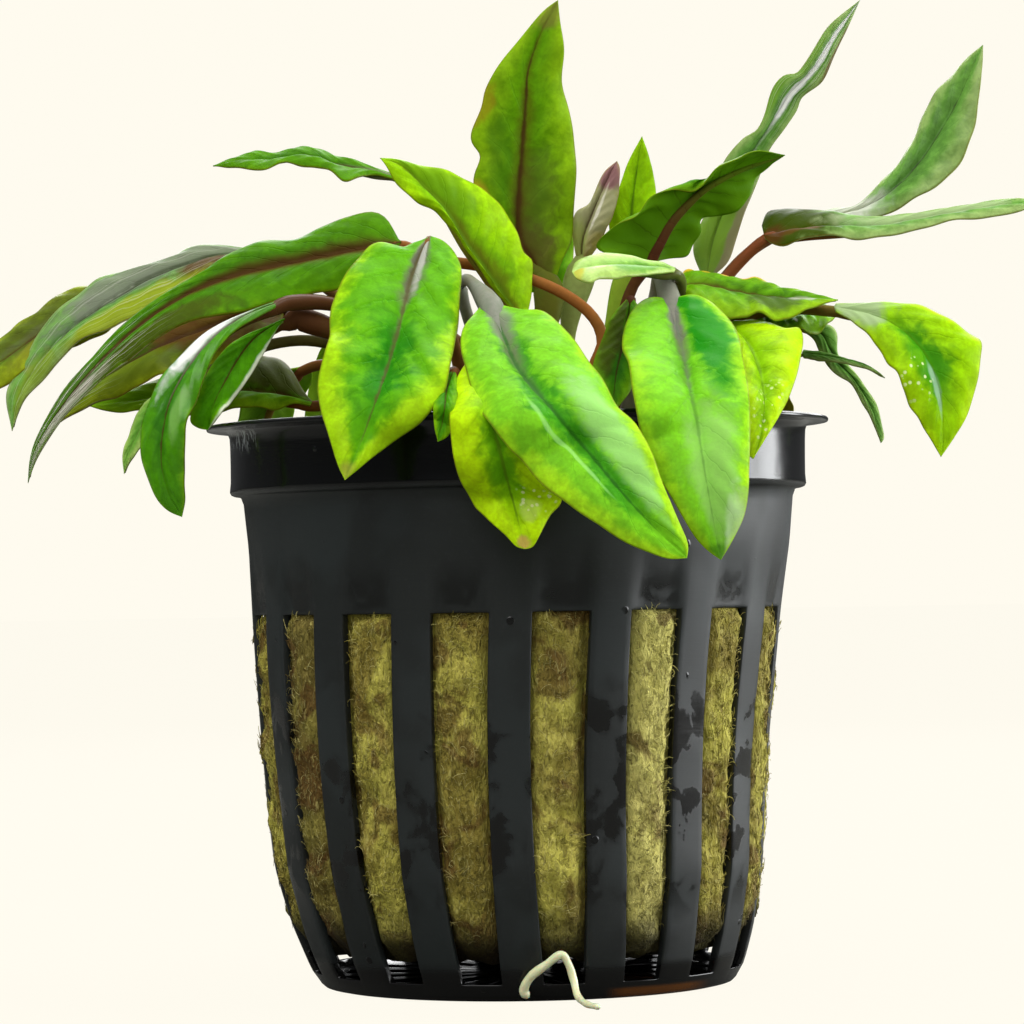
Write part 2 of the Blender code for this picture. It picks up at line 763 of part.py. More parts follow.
def add_pot():
    """One thin moulding: an outer and an inner skin, with open cells for the slots."""
    pitch = 360 / RIB_COUNT
    stations = pot_stations()
    columns = 3 * RIB_COUNT

    def column_angles(radius):
        """Both edges of each rib, which keeps its width as the wall narrows, and the slot's middle."""
        half = min(math.degrees(RIB_HALF_WIDTH / radius), RIB_MOST_ANGLE)
        angles = []
        for rib in range(RIB_COUNT):
            centre = rib * pitch
            angles += [centre - half, centre + half, centre + pitch / 2]
        return angles

    def is_open(row, column):
        """Cells between stations row and row + 1 that a slot takes up."""
        low, high = stations[row][0], stations[row + 1][0]
        in_wall = low[1] >= SLOT_BOTTOM and high[1] <= SLOT_TOP
        in_floor = low[0] >= DISC_RADIUS and high[0] <= SPOKE_END_RADIUS
        return column % 3 != 0 and (in_wall or in_floor)

    points = [(0, 0, 0), (0, 0, FLOOR)]
    for outer, inner in stations:
        angles = column_angles(outer[0])
        points += [ring_point(outer[0], angle, outer[1]) for angle in angles]
        points += [ring_point(inner[0], angle, inner[1]) for angle in angles]

    def out(row, column):
        return 2 + row * 2 * columns + column % columns

    def inn(row, column):
        return out(row, column) + columns

    faces = []
    for c in range(columns):
        faces.append([0, out(0, c), out(0, c + 1)])
        faces.append([1, inn(0, c), inn(0, c + 1)])
    rows = len(stations) - 1
    for r in range(rows):
        for c in range(columns):
            if is_open(r, c):
                continue
            faces.append([out(r, c), out(r, c + 1), out(r + 1, c + 1), out(r + 1, c)])
            faces.append([inn(r, c), inn(r, c + 1), inn(r + 1, c + 1), inn(r + 1, c)])
            if is_open(r, c - 1):
                faces.append([out(r, c), out(r + 1, c), inn(r + 1, c), inn(r, c)])
            if is_open(r, (c + 1) % columns):
                faces.append([out(r, c + 1), out(r + 1, c + 1), inn(r + 1, c + 1), inn(r, c + 1)])
    for c in range(columns):
        for r in range(rows):
            below_open = r > 0 and is_open(r - 1, c)
            if is_open(r, c) and not below_open:
                faces.append([out(r, c), out(r, c + 1), inn(r, c + 1), inn(r, c)])
            if below_open and not is_open(r, c):
                faces.append([out(r, c), out(r, c + 1), inn(r, c + 1), inn(r, c)])
        faces.append([out(rows, c), out(rows, c + 1), inn(rows, c + 1), inn(rows, c)])
    return add_object("pot", points, faces, "pot")


def add_wool():
    """The plug fills the pot and swells a little into the slots."""
    pitch = 360 / RIB_COUNT
    angles = []
    for rib in range(RIB_COUNT):
        centre = rib * pitch
        for offset in (-WOOL_BULGE_ANGLE, -WOOL_EDGE_ANGLE, WOOL_EDGE_ANGLE, WOOL_BULGE_ANGLE):
            angles.append((centre + offset, abs(offset) == WOOL_BULGE_ANGLE))
    columns = len(angles)
    points = []
    for height, swollen in WOOL_RINGS:
        outer = wall_radius(height)
        inner = outer - WALL - WOOL_GAP
        for angle, in_slot in angles:
            radius = outer + WOOL_BULGE if swollen and in_slot else inner
            points.append(ring_point(radius, angle, height))
    return add_object("rock_wool", points, tube_faces(len(WOOL_RINGS), columns), "wool")


def add_root():
    """A tapering tube along the root's path."""
    path = smooth_path([Vector(point) for point in ROOT_PATH], ROOT_STEPS)
    points = []
    for index, point in enumerate(path):
        ahead = path[min(index + 1, len(path) - 1)]
        behind = path[max(index - 1, 0)]
        along = (ahead - behind).normalized()
        side = along.cross(ROOT_SIDE_HINT).normalized()
        up = side.cross(along)
        share = index / (len(path) - 1)
        radius = ROOT_START_RADIUS + (ROOT_END_RADIUS - ROOT_START_RADIUS) * share
        for step in range(ROOT_SIDES):
            angle = 2 * math.pi * step / ROOT_SIDES
            points.append(point + (side * math.cos(angle) + up * math.sin(angle)) * radius)
    return add_object("root", points, tube_faces(len(path), ROOT_SIDES), "root")


def add_crown(name, place):
    across, depth = place
    points = []
    for radius, height in CROWN_PROFILE:
        for step in range(CROWN_SIDES):
            angle = 2 * math.pi * step / CROWN_SIDES
            points.append(
                (
                    across + radius * math.cos(angle),
                    depth + radius * math.sin(angle),
                    CROWN_FOOT + height,
                )
            )
    return add_object("crown_" + name, points, tube_faces(len(CROWN_PROFILE), CROWN_SIDES), "crown")


def main():
    for old in list(bpy.data.objects):
        bpy.data.objects.remove(old)
    add_pot()
    add_wool()
    add_root()
    for name, place in CROWNS.items():
        add_crown(name, place)
    for row in LEAVES:
        add_leaf(row)


main()
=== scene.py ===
"""Potted cryptocoryne: the fine surfaces, materials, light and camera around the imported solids.

Lengths in the tables are millimetres. Outlines of leaves are places in the front view, which is
taken to be 1024 wide and 1024 high, and each place also has a depth from the pot's axis.
"""

import math

import bmesh
import bpy
import numpy as np
from mathutils import Matrix, Vector


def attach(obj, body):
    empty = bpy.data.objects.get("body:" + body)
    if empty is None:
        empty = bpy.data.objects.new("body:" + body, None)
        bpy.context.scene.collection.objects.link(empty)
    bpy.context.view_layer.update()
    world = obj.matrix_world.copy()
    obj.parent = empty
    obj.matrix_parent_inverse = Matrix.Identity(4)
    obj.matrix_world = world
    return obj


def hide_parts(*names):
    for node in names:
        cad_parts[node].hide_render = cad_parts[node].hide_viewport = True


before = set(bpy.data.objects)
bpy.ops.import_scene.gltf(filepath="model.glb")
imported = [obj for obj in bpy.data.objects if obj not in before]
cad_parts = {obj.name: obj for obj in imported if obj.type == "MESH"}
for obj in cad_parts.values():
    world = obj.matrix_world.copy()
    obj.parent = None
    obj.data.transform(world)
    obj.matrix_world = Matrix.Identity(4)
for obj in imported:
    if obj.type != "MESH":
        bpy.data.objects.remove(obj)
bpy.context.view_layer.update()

BODY = "root"
MM = 0.001

# ---------------------------------------------------------------- front view
PICTURE = 1024
EYE = np.array((-0.79, -362.3, 34.1))
PITCH = 0.0188
ROLL = 0.0175
FOCAL = 4154.6
SENSOR = 36.0


def view_axes():
    """Right, up and forward of the front view."""
    forward = np.array((0, math.cos(PITCH), math.sin(PITCH)))
    right = np.array((1.0, 0, 0))
    up = np.cross(right, forward)
    turned = math.cos(ROLL) * right - math.sin(ROLL) * up
    upright = math.sin(ROLL) * right + math.cos(ROLL) * up
    return turned, upright, forward


RIGHT, UP, FORWARD = view_axes()


def ray(place):
    """Direction of the view through places in the picture, with a depth of one."""
    place = np.asarray(place, float)
    half = PICTURE / 2
    across = (place[..., :1] - half) / FOCAL
    down = (place[..., 1:2] - half) / FOCAL
    direction = FORWARD + across * RIGHT - down * UP
    return direction / direction[..., 1:2]


def at_place(place, depth):
    """Points of the front view at their depths behind the pot's axis."""
    depth = np.asarray(depth, float)
    return EYE + ray(place) * (depth - EYE[1])[..., None]


def seen(across, depth, up):
    """A reading in the plane of the pot's axis, moved to its depth along the line of sight."""
    scale = 1 + depth / -EYE[1]
    return np.array((EYE[0] + (across - EYE[0]) * scale, depth, EYE[2] + (up - EYE[2]) * scale))


# ---------------------------------------------------------------- lines and meshes
def places(text):
    return np.array([[float(n) for n in pair.split(",")] for pair in text.split()])


def smooth_line(points, shares):
    """Points at shares of the length of a smooth curve through the given ones."""
    p = np.asarray(points, float)
    p = np.vstack([2 * p[0] - p[1], p, 2 * p[-1] - p[-2]])
    t = np.linspace(0, 1, 12, endpoint=False)[:, None]
    parts = []
    for a, b, c, d in zip(p, p[1:], p[2:], p[3:]):
        parts.append(
            0.5
            * (
                2 * b
                + (c - a) * t
                + (2 * a - 5 * b + 4 * c - d) * t**2
                + (3 * b - a - 3 * c + d) * t**3
            )
        )
    line = np.vstack(parts + [p[-2:-1]])
    steps = np.linalg.norm(np.diff(line, axis=0), axis=1)
    total = np.concatenate([[0], np.cumsum(steps)])
    wanted = np.asarray(shares) * total[-1]
    return np.stack([np.interp(wanted, total, line[:, k]) for k in range(line.shape[1])], 1)


def smooth_values(values, shares):
    """Values at shares of a smooth curve through evenly spaced ones."""
    v = np.asarray(values, float)
    v = np.concatenate([[2 * v[0] - v[1]], v, [2 * v[-1] - v[-2]]])
    place = np.asarray(shares) * (len(v) - 3)
    i = np.minimum(place.astype(int), len(v) - 4)
    t = place - i
    a, b, c, d = v[i], v[i + 1], v[i + 2], v[i + 3]
    return b + 0.5 * t * (c - a + t * (2 * a - 5 * b + 4 * c - d + t * (3 * b - a - 3 * c + d)))


def unit(vectors):
    return vectors / np.maximum(np.linalg.norm(vectors, axis=-1, keepdims=True), 1e-12)


def ease(value, low, high):
    t = np.clip((value - low) / (high - low), 0, 1)
    return t * t * (3 - 2 * t)


def add_piece(name, points, faces, material, node=None, attributes=None, sheet=0):
    """A smooth mesh object from points in millimetres that rides on the part.

    The first sheet faces are a thin closed blade. Blender's own test for which side is outside
    can fail on one, so its volume settles that.
    """
    mesh = bpy.data.meshes.new(name)
    mesh.from_pydata((np.asarray(points) * MM).tolist(), [], faces)
    for key, values in (attributes or {}).items():
        layer = mesh.attributes.new(key, "FLOAT", "POINT")
        layer.data.foreach_set("value", np.asarray(values, np.float32))
    tidy = bmesh.new()
    tidy.from_mesh(mesh)
    bmesh.ops.recalc_face_normals(tidy, faces=tidy.faces)
    tidy.faces.ensure_lookup_table()
    blade = tidy.faces[:sheet]
    if sum(face.calc_center_median().dot(face.normal) * face.calc_area() for face in blade) < 0:
        bmesh.ops.reverse_faces(tidy, faces=blade)
    tidy.to_mesh(mesh)
    tidy.free()
    mesh.shade_smooth()
    mesh.materials.append(material)
    made = bpy.data.objects.new(name, mesh)
    bpy.context.scene.collection.objects.link(made)
    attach(made, BODY)
    if node:
        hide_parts(node)
    return made


def grid_faces(rows, columns, start=0, closed=False):
    """Quads between rows of points. closed joins the last column to the first."""
    faces = []
    last = columns if closed else columns - 1
    for r in range(rows - 1):
        for c in range(last):
            a = start + r * columns + c
            b = start + r * columns + (c + 1) % columns
            faces.append((a, b, b + columns, a + columns))
    return faces


def tube(path, radii, sides, start=0):
    """Rings round a path, with a cap at each end: points and faces."""
    along = unit(np.gradient(path, axis=0))
    hint = np.array((0.3, -0.5, 0.81))
    side = unit(np.cross(along, hint))
    over = np.cross(side, along)
    angle = np.linspace(0, 2 * np.pi, sides, endpoint=False)
    ring = np.cos(angle)[None, :, None] * side[:, None] + np.sin(angle)[None, :, None] * over[:, None]
    points = (path[:, None] + ring * np.asarray(radii)[:, None, None]).reshape(-1, 3)
    faces = grid_faces(len(path), sides, start, closed=True)
    faces.append(tuple(range(start, start + sides)))
    end = start + (len(path) - 1) * sides
    faces.append(tuple(range(end, end + sides)))
    return points, faces


# ---------------------------------------------------------------- materials
def colour(code):
    """A hexadecimal screen colour as linear values."""
    values = []
    for i in (0, 2, 4):
        c = int(code[i : i + 2], 16) / 255
        values.append(c / 12.92 if c <= 0.04045 else ((c + 0.055) / 1.055) ** 2.4)
    return (*values, 1.0)


class Graph:
    """Short calls that build one material's nodes."""

    def __init__(self, name):
        self.material = bpy.data.materials.new(name)
        self.material.use_nodes = True
        self.tree = self.material.node_tree
        self.tree.nodes.clear()
        self.coordinates = self.new("ShaderNodeTexCoord", {}).outputs["Object"]

    def new(self, kind, inputs, **settings):
        node = self.tree.nodes.new(kind)
        for key, value in settings.items():
            setattr(node, key, value)
        for key, value in inputs.items():
            if isinstance(value, bpy.types.NodeSocket):
                self.tree.links.new(value, node.inputs[key])
            else:
                node.inputs[key].default_value = value
        return node

    def math(self, operation, *values):
        return self.new("ShaderNodeMath", dict(enumerate(values)), operation=operation).outputs[0]

    def attribute(self, name):
        return self.new("ShaderNodeAttribute", {}, attribute_name=name).outputs["Fac"]

    def span(self, value, low, high, start=0.0, end=1.0):
        node = self.new(
            "ShaderNodeMapRange",
            {0: value, 1: low, 2: high, 3: start, 4: end},
            interpolation_type="SMOOTHSTEP",
        )
        return node.outputs[0]

    def noise(self, size, detail=3.0, stretch=(1, 1, 1), distortion=0.0, offset=(0, 0, 0)):
        """Noise with features of about size millimetres, drawn out by stretch."""
        scaled = self.new(
            "ShaderNodeMapping",
            {
                "Vector": self.coordinates,
                "Scale": [1 / s for s in stretch],
                "Location": [o * MM for o in offset],
            },
        )
        node = self.new(
            "ShaderNodeTexNoise",
            {
                "Vector": scaled.outputs[0],
                "Scale": 1 / (size * MM),
                "Detail": detail,
                "Distortion": distortion,
            },
        )
        return node.outputs[0]

    def mix(self, factor, a, b, blend="MIX"):
        node = self.new("ShaderNodeMix", {}, data_type="RGBA", blend_type=blend)
        for index, value in ((0, factor), (6, a), (7, b)):
            if isinstance(value, bpy.types.NodeSocket):
                self.tree.links.new(value, node.inputs[index])
            else:
                node.inputs[index].default_value = value
        return node.outputs[2]

    def bump(self, height, distance, strength=1.0, normal=None):
        inputs = {"Height": height, "Distance": distance * MM, "Strength": strength}
        if normal:
            inputs["Normal"] = normal
        return self.new("ShaderNodeBump", inputs).outputs[0]

    def finish(self, surface):
        self.new("ShaderNodeOutputMaterial", {"Surface": surface})
        return self.material


# Upper side, margin, dark patch, midrib, underside and petiole
LOOKS = {
    "green": ("4e960a", "84bc10", "2c7a0a", "54361a", "6f9a26", "7a4a26"),
    "moss": ("64a00c", "8ab616", "3a760a", "54361a", "6f9a26", "7a4a26"),
    "grass": ("528c08", "7eaa0c", "3a7408", "54361a", "7a9c26", "7a4a26"),
    "bright": ("62ae10", "a8d814", "1c8212", "5c5428", "86a83a", "8a5c30"),
    "fresh": ("7cc822", "a8dc20", "2a9018", "2c6c18", "8cb83a", "6a5a34"),
    "lime": ("98ce0c", "b4de10", "3f9410", "5f8a14", "9cba24", "7a5a2c"),
    # The next look is the lime look painted lighter: painted light on a leaf that lies in the shade of the leaf in
    # front.
    "sunny": ("b0e40c", "c4ee10", "4aa010", "5f8a14", "b0cc2c", "7a5a2c"),
    "pale": ("8cc050", "b4d470", "4fa428", "6f8a3c", "a4c860", "5a5a30"),
    "olive": ("5f8010", "8f9f18", "345010", "4e3420", "6a5a1c", "5c3a20"),
    "gray": ("6ca042", "98b468", "2c5c20", "3c4a28", "9cb26c", "7a5030"),
    "brown": ("9a8a4c", "a09850", "4c3c20", "54402a", "8c7048", "54381f"),
    "dark": ("4c8a0c", "70a414", "22600c", "3e2414", "5a9010", "5a3420"),
}
MARGIN_LINE = "7a5a1c"
FILM = "86826c"


def leaf_material(name, look, seed, gloss=0.34, patch=0.5, veins=9.0, ribbed=0.025, red=0.0,
                  lime=(0.45, 1.1, 0.3), heart=(0.25, 0.9, 0.3), rib=(0.14, 0.03, 0.85), film=0.0,
                  marks=(), clear=0.25, coat=0.0, stalk=None, streaks=None, drops=None):
    """One leaf's surface. marks are (along, across, long, wide, colour, strength) on the blade.

    streaks are (start, strength) of thin lines along the blade, drops is the place of fine drops drawn as painted
    glints.
    """
    upper, margin, dark, rib_tone, under, stem = [colour(code) for code in LOOKS[look]]
    g = Graph("mat_" + name)
    along = g.attribute("along")
    across = g.attribute("across")
    side = g.math("ABSOLUTE", across)
    shift = (seed * 7.3, seed * 3.1, seed * 5.7)
    broad = g.noise(4.2, 3, distortion=0.3, offset=shift)
    middle = g.noise(1.2, 4, distortion=0.5, offset=shift)
    fine = g.noise(0.28, 4, offset=shift)
    drift = g.math("SUBTRACT", g.math("MULTIPLY", g.math("ADD", broad, middle), 0.5), 0.5)

    # Lime towards the margins and the tip, and a dark heart along the midrib
    start, end, tip = lime
    reach = g.math("ADD", side, g.math("MULTIPLY", g.math("POWER", along, 2.0), tip))
    reach = g.math("ADD", reach, g.math("MULTIPLY", drift, 1.1))
    body = g.mix(g.span(reach, start, end), upper, margin)
    low, high, wide = heart
    inside = g.math("MULTIPLY", g.span(along, low - 0.12, low + 0.12), g.span(along, high, high - 0.25))
    core = g.math("ADD", side, g.math("MULTIPLY", drift, 1.4))
    core = g.math("MULTIPLY", g.span(core, wide * 1.7, wide * 0.3), inside)
    body = g.mix(g.math("MULTIPLY", core, patch), body, dark)
    body = g.mix(1.0, body, g.span(middle, 0.3, 0.7, 0.86, 1.12), "MULTIPLY")
    body = g.mix(1.0, body, g.span(fine, 0.35, 0.65, 0.94, 1.05), "MULTIPLY")

    # Side veins sweep from the midrib towards the tip
    sweep = g.math("SUBTRACT", along, g.math("MULTIPLY", g.math("POWER", side, 0.8), 0.22))
    wave = g.math("ADD", g.math("MULTIPLY", sweep, veins), g.math("MULTIPLY", middle, 0.5))
    saw = g.math("ABSOLUTE", g.math("SUBTRACT", g.math("FRACT", wave), 0.5))
    vein = g.math("MULTIPLY", g.span(saw, 0.0, 0.06, 1.0, 0.0), g.span(side, 0.85, 0.4))
    body = g.mix(g.math("MULTIPLY", vein, 0.14), body, dark)
    net = g.new(
        "ShaderNodeTexVoronoi",
        {"Vector": g.coordinates, "Scale": 1 / (0.8 * MM), "Randomness": 1.0},
        feature="DISTANCE_TO_EDGE",
    ).outputs[0]
    web = g.span(net, 0.0, 0.08, 1.0, 0.0)
    body = g.mix(g.math("MULTIPLY", web, 0.03), body, dark)

    # Reddish tissue round the rib, the gray film at the blade's foot, and single marks, of which the white and pale
    # gray ones on glossy leaves are painted highlights
    wander = g.math("ADD", side, g.math("MULTIPLY", drift, 0.5))
    if red:
        blush = g.span(g.math("ADD", wander, g.math("MULTIPLY", along, 0.35)), 0.08, 0.5, red, 0.0)
        body = g.mix(blush, body, colour("6e4218"))
    if film:
        foot = g.math("ADD", g.math("MULTIPLY", along, 0.9), wander)
        body = g.mix(g.span(foot, 0.42, 0.14, 0.0, film), body, colour(FILM))
    for at, over, long, wide_mark, tone, strength in marks:
        u = g.math("DIVIDE", g.math("SUBTRACT", along, at), long)
        v = g.math("DIVIDE", g.math("SUBTRACT", across, over), wide_mark)
        gap = g.math("SQRT", g.math("ADD", g.math("MULTIPLY", u, u), g.math("MULTIPLY", v, v)))
        gap = g.math("ADD", gap, g.math("MULTIPLY", drift, 1.6))
        body = g.mix(g.span(gap, 1.15, 0.55, 0.0, strength), body, colour(tone))

    if streaks:
        start, strength = streaks
        lines = g.new(
            "ShaderNodeTexNoise",
            {"W": g.math("ADD", g.math("MULTIPLY", across, 3.2), g.math("MULTIPLY", middle, 0.3)),
             "Scale": 4.0, "Detail": 4.0},
            noise_dimensions="1D",
        ).outputs[0]
        shown = g.span(along, start - 0.15, start + 0.2, 0.0, strength)
        body = g.mix(g.math("MULTIPLY", g.span(lines, 0.47, 0.4), shown), body, colour("28340f"))
        # The pale lines are painted reflections of a wet film; the dark lines are the leaf's own streaks.
        body = g.mix(g.math("MULTIPLY", g.span(lines, 0.56, 0.6), shown), body, colour("e0dcd2"))
    # Fine drops are pale beads: painted glints of water drops on the blade.
    if drops:
        at, over, long, wide_mark = drops
        u = g.math("DIVIDE", g.math("SUBTRACT", along, at), long)
        v = g.math("DIVIDE", g.math("SUBTRACT", across, over), wide_mark)
        gap = g.math("SQRT", g.math("ADD", g.math("MULTIPLY", u, u), g.math("MULTIPLY", v, v)))
        beads = g.new("ShaderNodeTexVoronoi", {"Vector": g.coordinates, "Scale": 1 / (0.55 * MM)})
        drop_glint = g.math("MULTIPLY", g.span(beads.outputs[0], 0.34, 0.22), g.span(gap, 1.1, 0.6))
        body = g.mix(g.math("MULTIPLY", drop_glint, 0.8), body, colour("f2f8b8"))

    # Midrib and the thin margin line
    base_width, tip_width, strength = rib
    width = g.span(along, 0.0, 1.0, base_width, tip_width)
    rough_side = g.math("ADD", side, g.math("MULTIPLY", g.math("SUBTRACT", middle, 0.5), 0.08))
    rib_mask = g.span(g.math("DIVIDE", rough_side, width), 0.1, 1.0, strength, 0.0)
    rib_mask = g.math("MULTIPLY", rib_mask, g.span(along, 0.98, 0.7))
    body = g.mix(rib_mask, body, rib_tone)
    body = g.mix(g.span(side, 0.965, 0.995, 0.0, 0.5), body, colour(MARGIN_LINE))

    # Underside, then the petiole
    below = g.mix(g.span(reach, start, end, 0.0, 0.35), under, margin)
    below = g.mix(g.math("MULTIPLY", vein, 0.3), below, rib_tone)
    body = g.mix(g.attribute("under"), body, below)
    streak = g.noise(0.5, 3, offset=shift)
    bark = g.mix(g.math("MULTIPLY", streak, 0.4), colour(stalk) if stalk else stem, rib_tone)
    bark = g.mix(g.span(broad, 0.5, 0.7, 0.0, 0.25), bark, colour("7a6a28"))
    body = g.mix(g.attribute("stem"), body, bark)

    raised = g.math("ADD", g.math("MULTIPLY", vein, -ribbed), g.math("MULTIPLY", web, -0.003))
    raised = g.math("ADD", raised, g.math("MULTIPLY", fine, 0.005))
    raised = g.math("ADD", raised, g.math("MULTIPLY", middle, 0.06))
    normal = g.bump(raised, 1.0, 0.8)
    wet = g.span(g.noise(2.6, 2, distortion=0.4, offset=shift), 0.42, 0.6, gloss, gloss + 0.2)
    surface = g.new(
        "ShaderNodeBsdfPrincipled",
        {
            "Base Color": body,
            "Roughness": wet,
            "Normal": normal,
            "Specular IOR Level": 0.03,
            "Coat Weight": coat,
            "Coat Roughness": 0.2,
        },
    )
    glow = g.mix(1.0, body, colour("fff7a0"), "MULTIPLY")
    through = g.new("ShaderNodeBsdfTranslucent", {"Color": glow, "Normal": normal})
    mixed = g.new("ShaderNodeMixShader", {0: clear, 1: surface.outputs[0], 2: through.outputs[0]})
    return g.finish(mixed.outputs[0])


# ---------------------------------------------------------------- leaves
CROWN_FOOT = 44.3
CROWN_REACH = 2.82
CROWNS = {
    "right": (9.0, 0.0),
    "left": (-2.0, -1.0),
    "rear_left": (-5.0, 8.5),
    "rear_right": (5.5, 12.0),
}
MATERIAL_KEYS = (
    "gloss", "patch", "veins", "ribbed", "red", "lime", "heart", "rib", "film", "marks", "clear",
    "coat", "stalk", "streaks", "drops",
)
ALONG_STEPS = 76
ACROSS_STEPS = 29
LEAVES = []


def leaf(name, root, petiole, **row):
    LEAVES.append(dict(row, name=name, root=root, petiole=petiole))


leaf(
    "leaf_tall_centre", ("left", 50, 3.0), [(1.2, 3.4, 53), (2.5, 4.3, 57.5)],
    left="546,288 516,262 493,232 478,205 473,180 476,169 481,155 473,145 471,133 482,106 484,92"
    " 493,74 503,59 518,41 542,12 558,0",
    right="553,288 562,261 573,237 574,204 576,170 574,139 569,108 562,82 564,50 560,20 558,0",
    mid="549,290 530,258 518,235 519,190 522,150 526,100 528,71 540,35 558,0",
    depth=(4.5, 4.3, 4.0, 3.4, 3.2), faces=[(0.1, -1, 0.2)], look="moss", red=0.6, patch=0.25, lime=(0.1, 1.0, 0.1), heart=(0.0, 0.7, 0.5),
    stalk="6a7a28", sheath=0.9,
    marks=[(0.12, 0.2, 0.16, 0.6, "6a5230", 0.7), (0.95, 0, 0.06, 1, "8a7a3c", 0.6),
           (0.3, 0.3, 0.2, 0.45, "5c6424", 0.5), (0.45, -0.5, 0.16, 0.3, "4a7c14", 0.5),
           (0.62, -0.95, 0.07, 0.25, "b08a20", 0.5), (0.3, -0.95, 0.08, 0.3, "d0a830", 0.6)],
)
leaf(
    "leaf_lime_arching", ("left", 340, 3.2), [(1.7, -2.4, 51.2)],
    left="513,312 492,287 479,269 467,253 459,238 449,226 434,210 413,201 396,183 388,168 380,158",
    right="528,312 533,285 532,261 522,253 514,226 504,209 487,191 471,182 444,171 419,165 399,159"
    " 380,158",
    mid="520,315 504,298 484,270 466,246 443,209 426,190 403,168 380,158",
    depth=(-3, -3.6, -4.5, -5.4, -6), faces=[(0.45, -1, 0.36)], look="lime", red=0.6, patch=0.5,
    bulge=0.16, lime=(0.5, 1.5, 0.1), heart=(0.0, 0.9, 0.4),
    marks=[(0.5, 0, 0.5, 0.14, "6a6a1c", 0.6), (0.75, 0.4, 0.25, 0.6, "6c9c14", 0.7),
           (0.15, -0.3, 0.15, 0.5, "6c8a1c", 0.6)],
)
leaf(
    "leaf_thin_upper_left", ("rear_left", 20, 3.0),
    [(-1.0, 9.4, 55), (-2.2, 9, 61), (-4.6, 8.6, 65.5), (-7.6, 8.2, 68.8)],
    left="394,174 387,172 365,165 339,160 318,149 291,148 276,155 249,154 224,162 213,166",
    right="394,179 372,175 347,182 335,177 326,168 305,164 280,165 263,171 245,168 213,166",
    mid="394,177 365,171 335,166 305,157 275,161 245,162 213,166",
    depth=(7.6, 7, 6.4, 5.5), faces=[(0, -0.42, 0.9)], look="grass", patch=0.8, film=0.8,
    lime=(0.8, 1.6, 0.1), slim=0.5, stalk="7a8460",
)
leaf(
    "leaf_pale_bud", ("rear_right", 235, 3.2), [(4.3, 8, 53), (4.6, 7, 58)],
    left="578,264 573,240 575,214 588,204 598,185 605,171 617,161",
    right="586,264 596,249 606,230 613,216 618,195 620,170 617,161",
    mid="582,266 583,240 592,215 602,192 611,174 617,161",
    depth=(6.6, 6.2, 6), faces=[(-0.3, -1, 0.1)], look="brown", patch=0.3, bulge=0.3,
    stalk="aabe6c", sheath=0.9,
    marks=[(0.5, 0, 0.5, 1.3, "b8b890", 0.8), (0.2, -0.3, 0.24, 0.9, "aab860", 0.8),
           (0.86, 0, 0.16, 1.2, "9a6a72", 0.9), (0.5, 0.3, 0.25, 0.12, "f0ecdc", 0.8)],
)
leaf(
    "leaf_lime_bud", ("rear_right", 275, 3.4), [(7.4, 8.3, 54), (9.0, 8, 60)],
    left="627,264 614,245 609,225 611,210 620,185 629,160 642,136",
    right="635,264 646,240 654,215 656,190 650,160 642,136",
    mid="631,266 631,238 632,205 636,175 642,136",
    depth=(8, 8, 8), faces=[(0.1, -1, 0.1)], look="lime", patch=0.15, lime=(0.9, 1.6, 0.2),
    stalk="a0c040", sheath=0.5,
)
leaf(
    "leaf_long_left", ("right", 190, 3.0),
    [(6.6, -1.4, 52.5), (7.4, -1.6, 55.6), (6.5, -1.4, 57.9), (4.2, -1.0, 59.8), (1.2, -0.4, 61.2),
     (-3, 0.2, 62.4), (-7, 0.2, 63.1)],
    left="399,240 393,229 387,218 375,213 362,218 337,221 314,228 295,238 263,237 242,249 224,257"
    " 201,273 176,289 138,314 103,343 66,387 40,432 30,459 28,483",
    right="399,246 372,272 337,287 316,289 291,300 262,308 234,314 215,318 186,323 150,342 118,366"
    " 84,398 58,426 38,456 28,483",
    mid="402,243 380,247 349,252 320,258 272,268 234,277 196,291 160,312 125,340 88,378 55,420"
    " 35,455 28,483",
    depth=(0, -0.9, -2.2, -4, -6), faces=[(0, -0.8, 0.6), (-0.2, -0.7, 0.7), (-0.5, -0.6, 0.6)],
    look="grass", streaks=(0.62, 0.85), red=0.25, veins=14.0, ribbed=0.05, gloss=0.28, rib=(0.34, 0.1, 0.95),
    lime=(0.8, 1.6, 0.1), heart=(0.1, 0.95, 0.5), patch=0.7, stalk="a86c34",
    coat=0.0, marks=[(0.6, 0.7, 0.25, 0.4, "4a3018", 0.6), (0.86, 0, 0.2, 1.1, "4c6428", 0.6),
                     # The pale mark near the tip is a painted reflection on the wet tip.
                     (0.84, 0.6, 0.16, 0.5, "c0b8ac", 0.6)],
)
leaf(
    "leaf_gray_left", ("rear_left", 160, 3.0), [(-12, 9.4, 56), (-17, 9.4, 61)],
    left="262,249 240,248 216,246 190,250 166,258 136,266 116,275 88,289 50,319 30,346 13,377"
    " 7,399 12,431",
    right="262,256 235,262 215,272 190,290 166,305 145,315 123,323 93,338 66,352 41,379 22,406"
    " 12,431",
    mid="264,252 216,257 180,268 150,280 116,300 88,318 62,340 38,368 20,400 12,431",
    depth=(9, 8.6, 8.2, 7.6, 6.4), faces=[(-0.1, -0.55, 0.82), (-0.5, -0.6, 0.6)],
    look="gray", streaks=(0.1, 0.2), gloss=0.28, coat=0.1, patch=0.7, lime=(0.7, 1.3, 0.3),
    # The first, gray mark is a painted sheen: the sky mirrored on the upper side.
    marks=[(0.3, -0.3, 0.5, 0.55, "868a7a", 0.8), (0.16, 0.5, 0.14, 0.5, "5a2f14", 0.9),
           (0.45, 0.85, 0.3, 0.45, "9aa81c", 0.85), (0.85, 0.4, 0.2, 0.8, "8aa022", 0.7)],
)
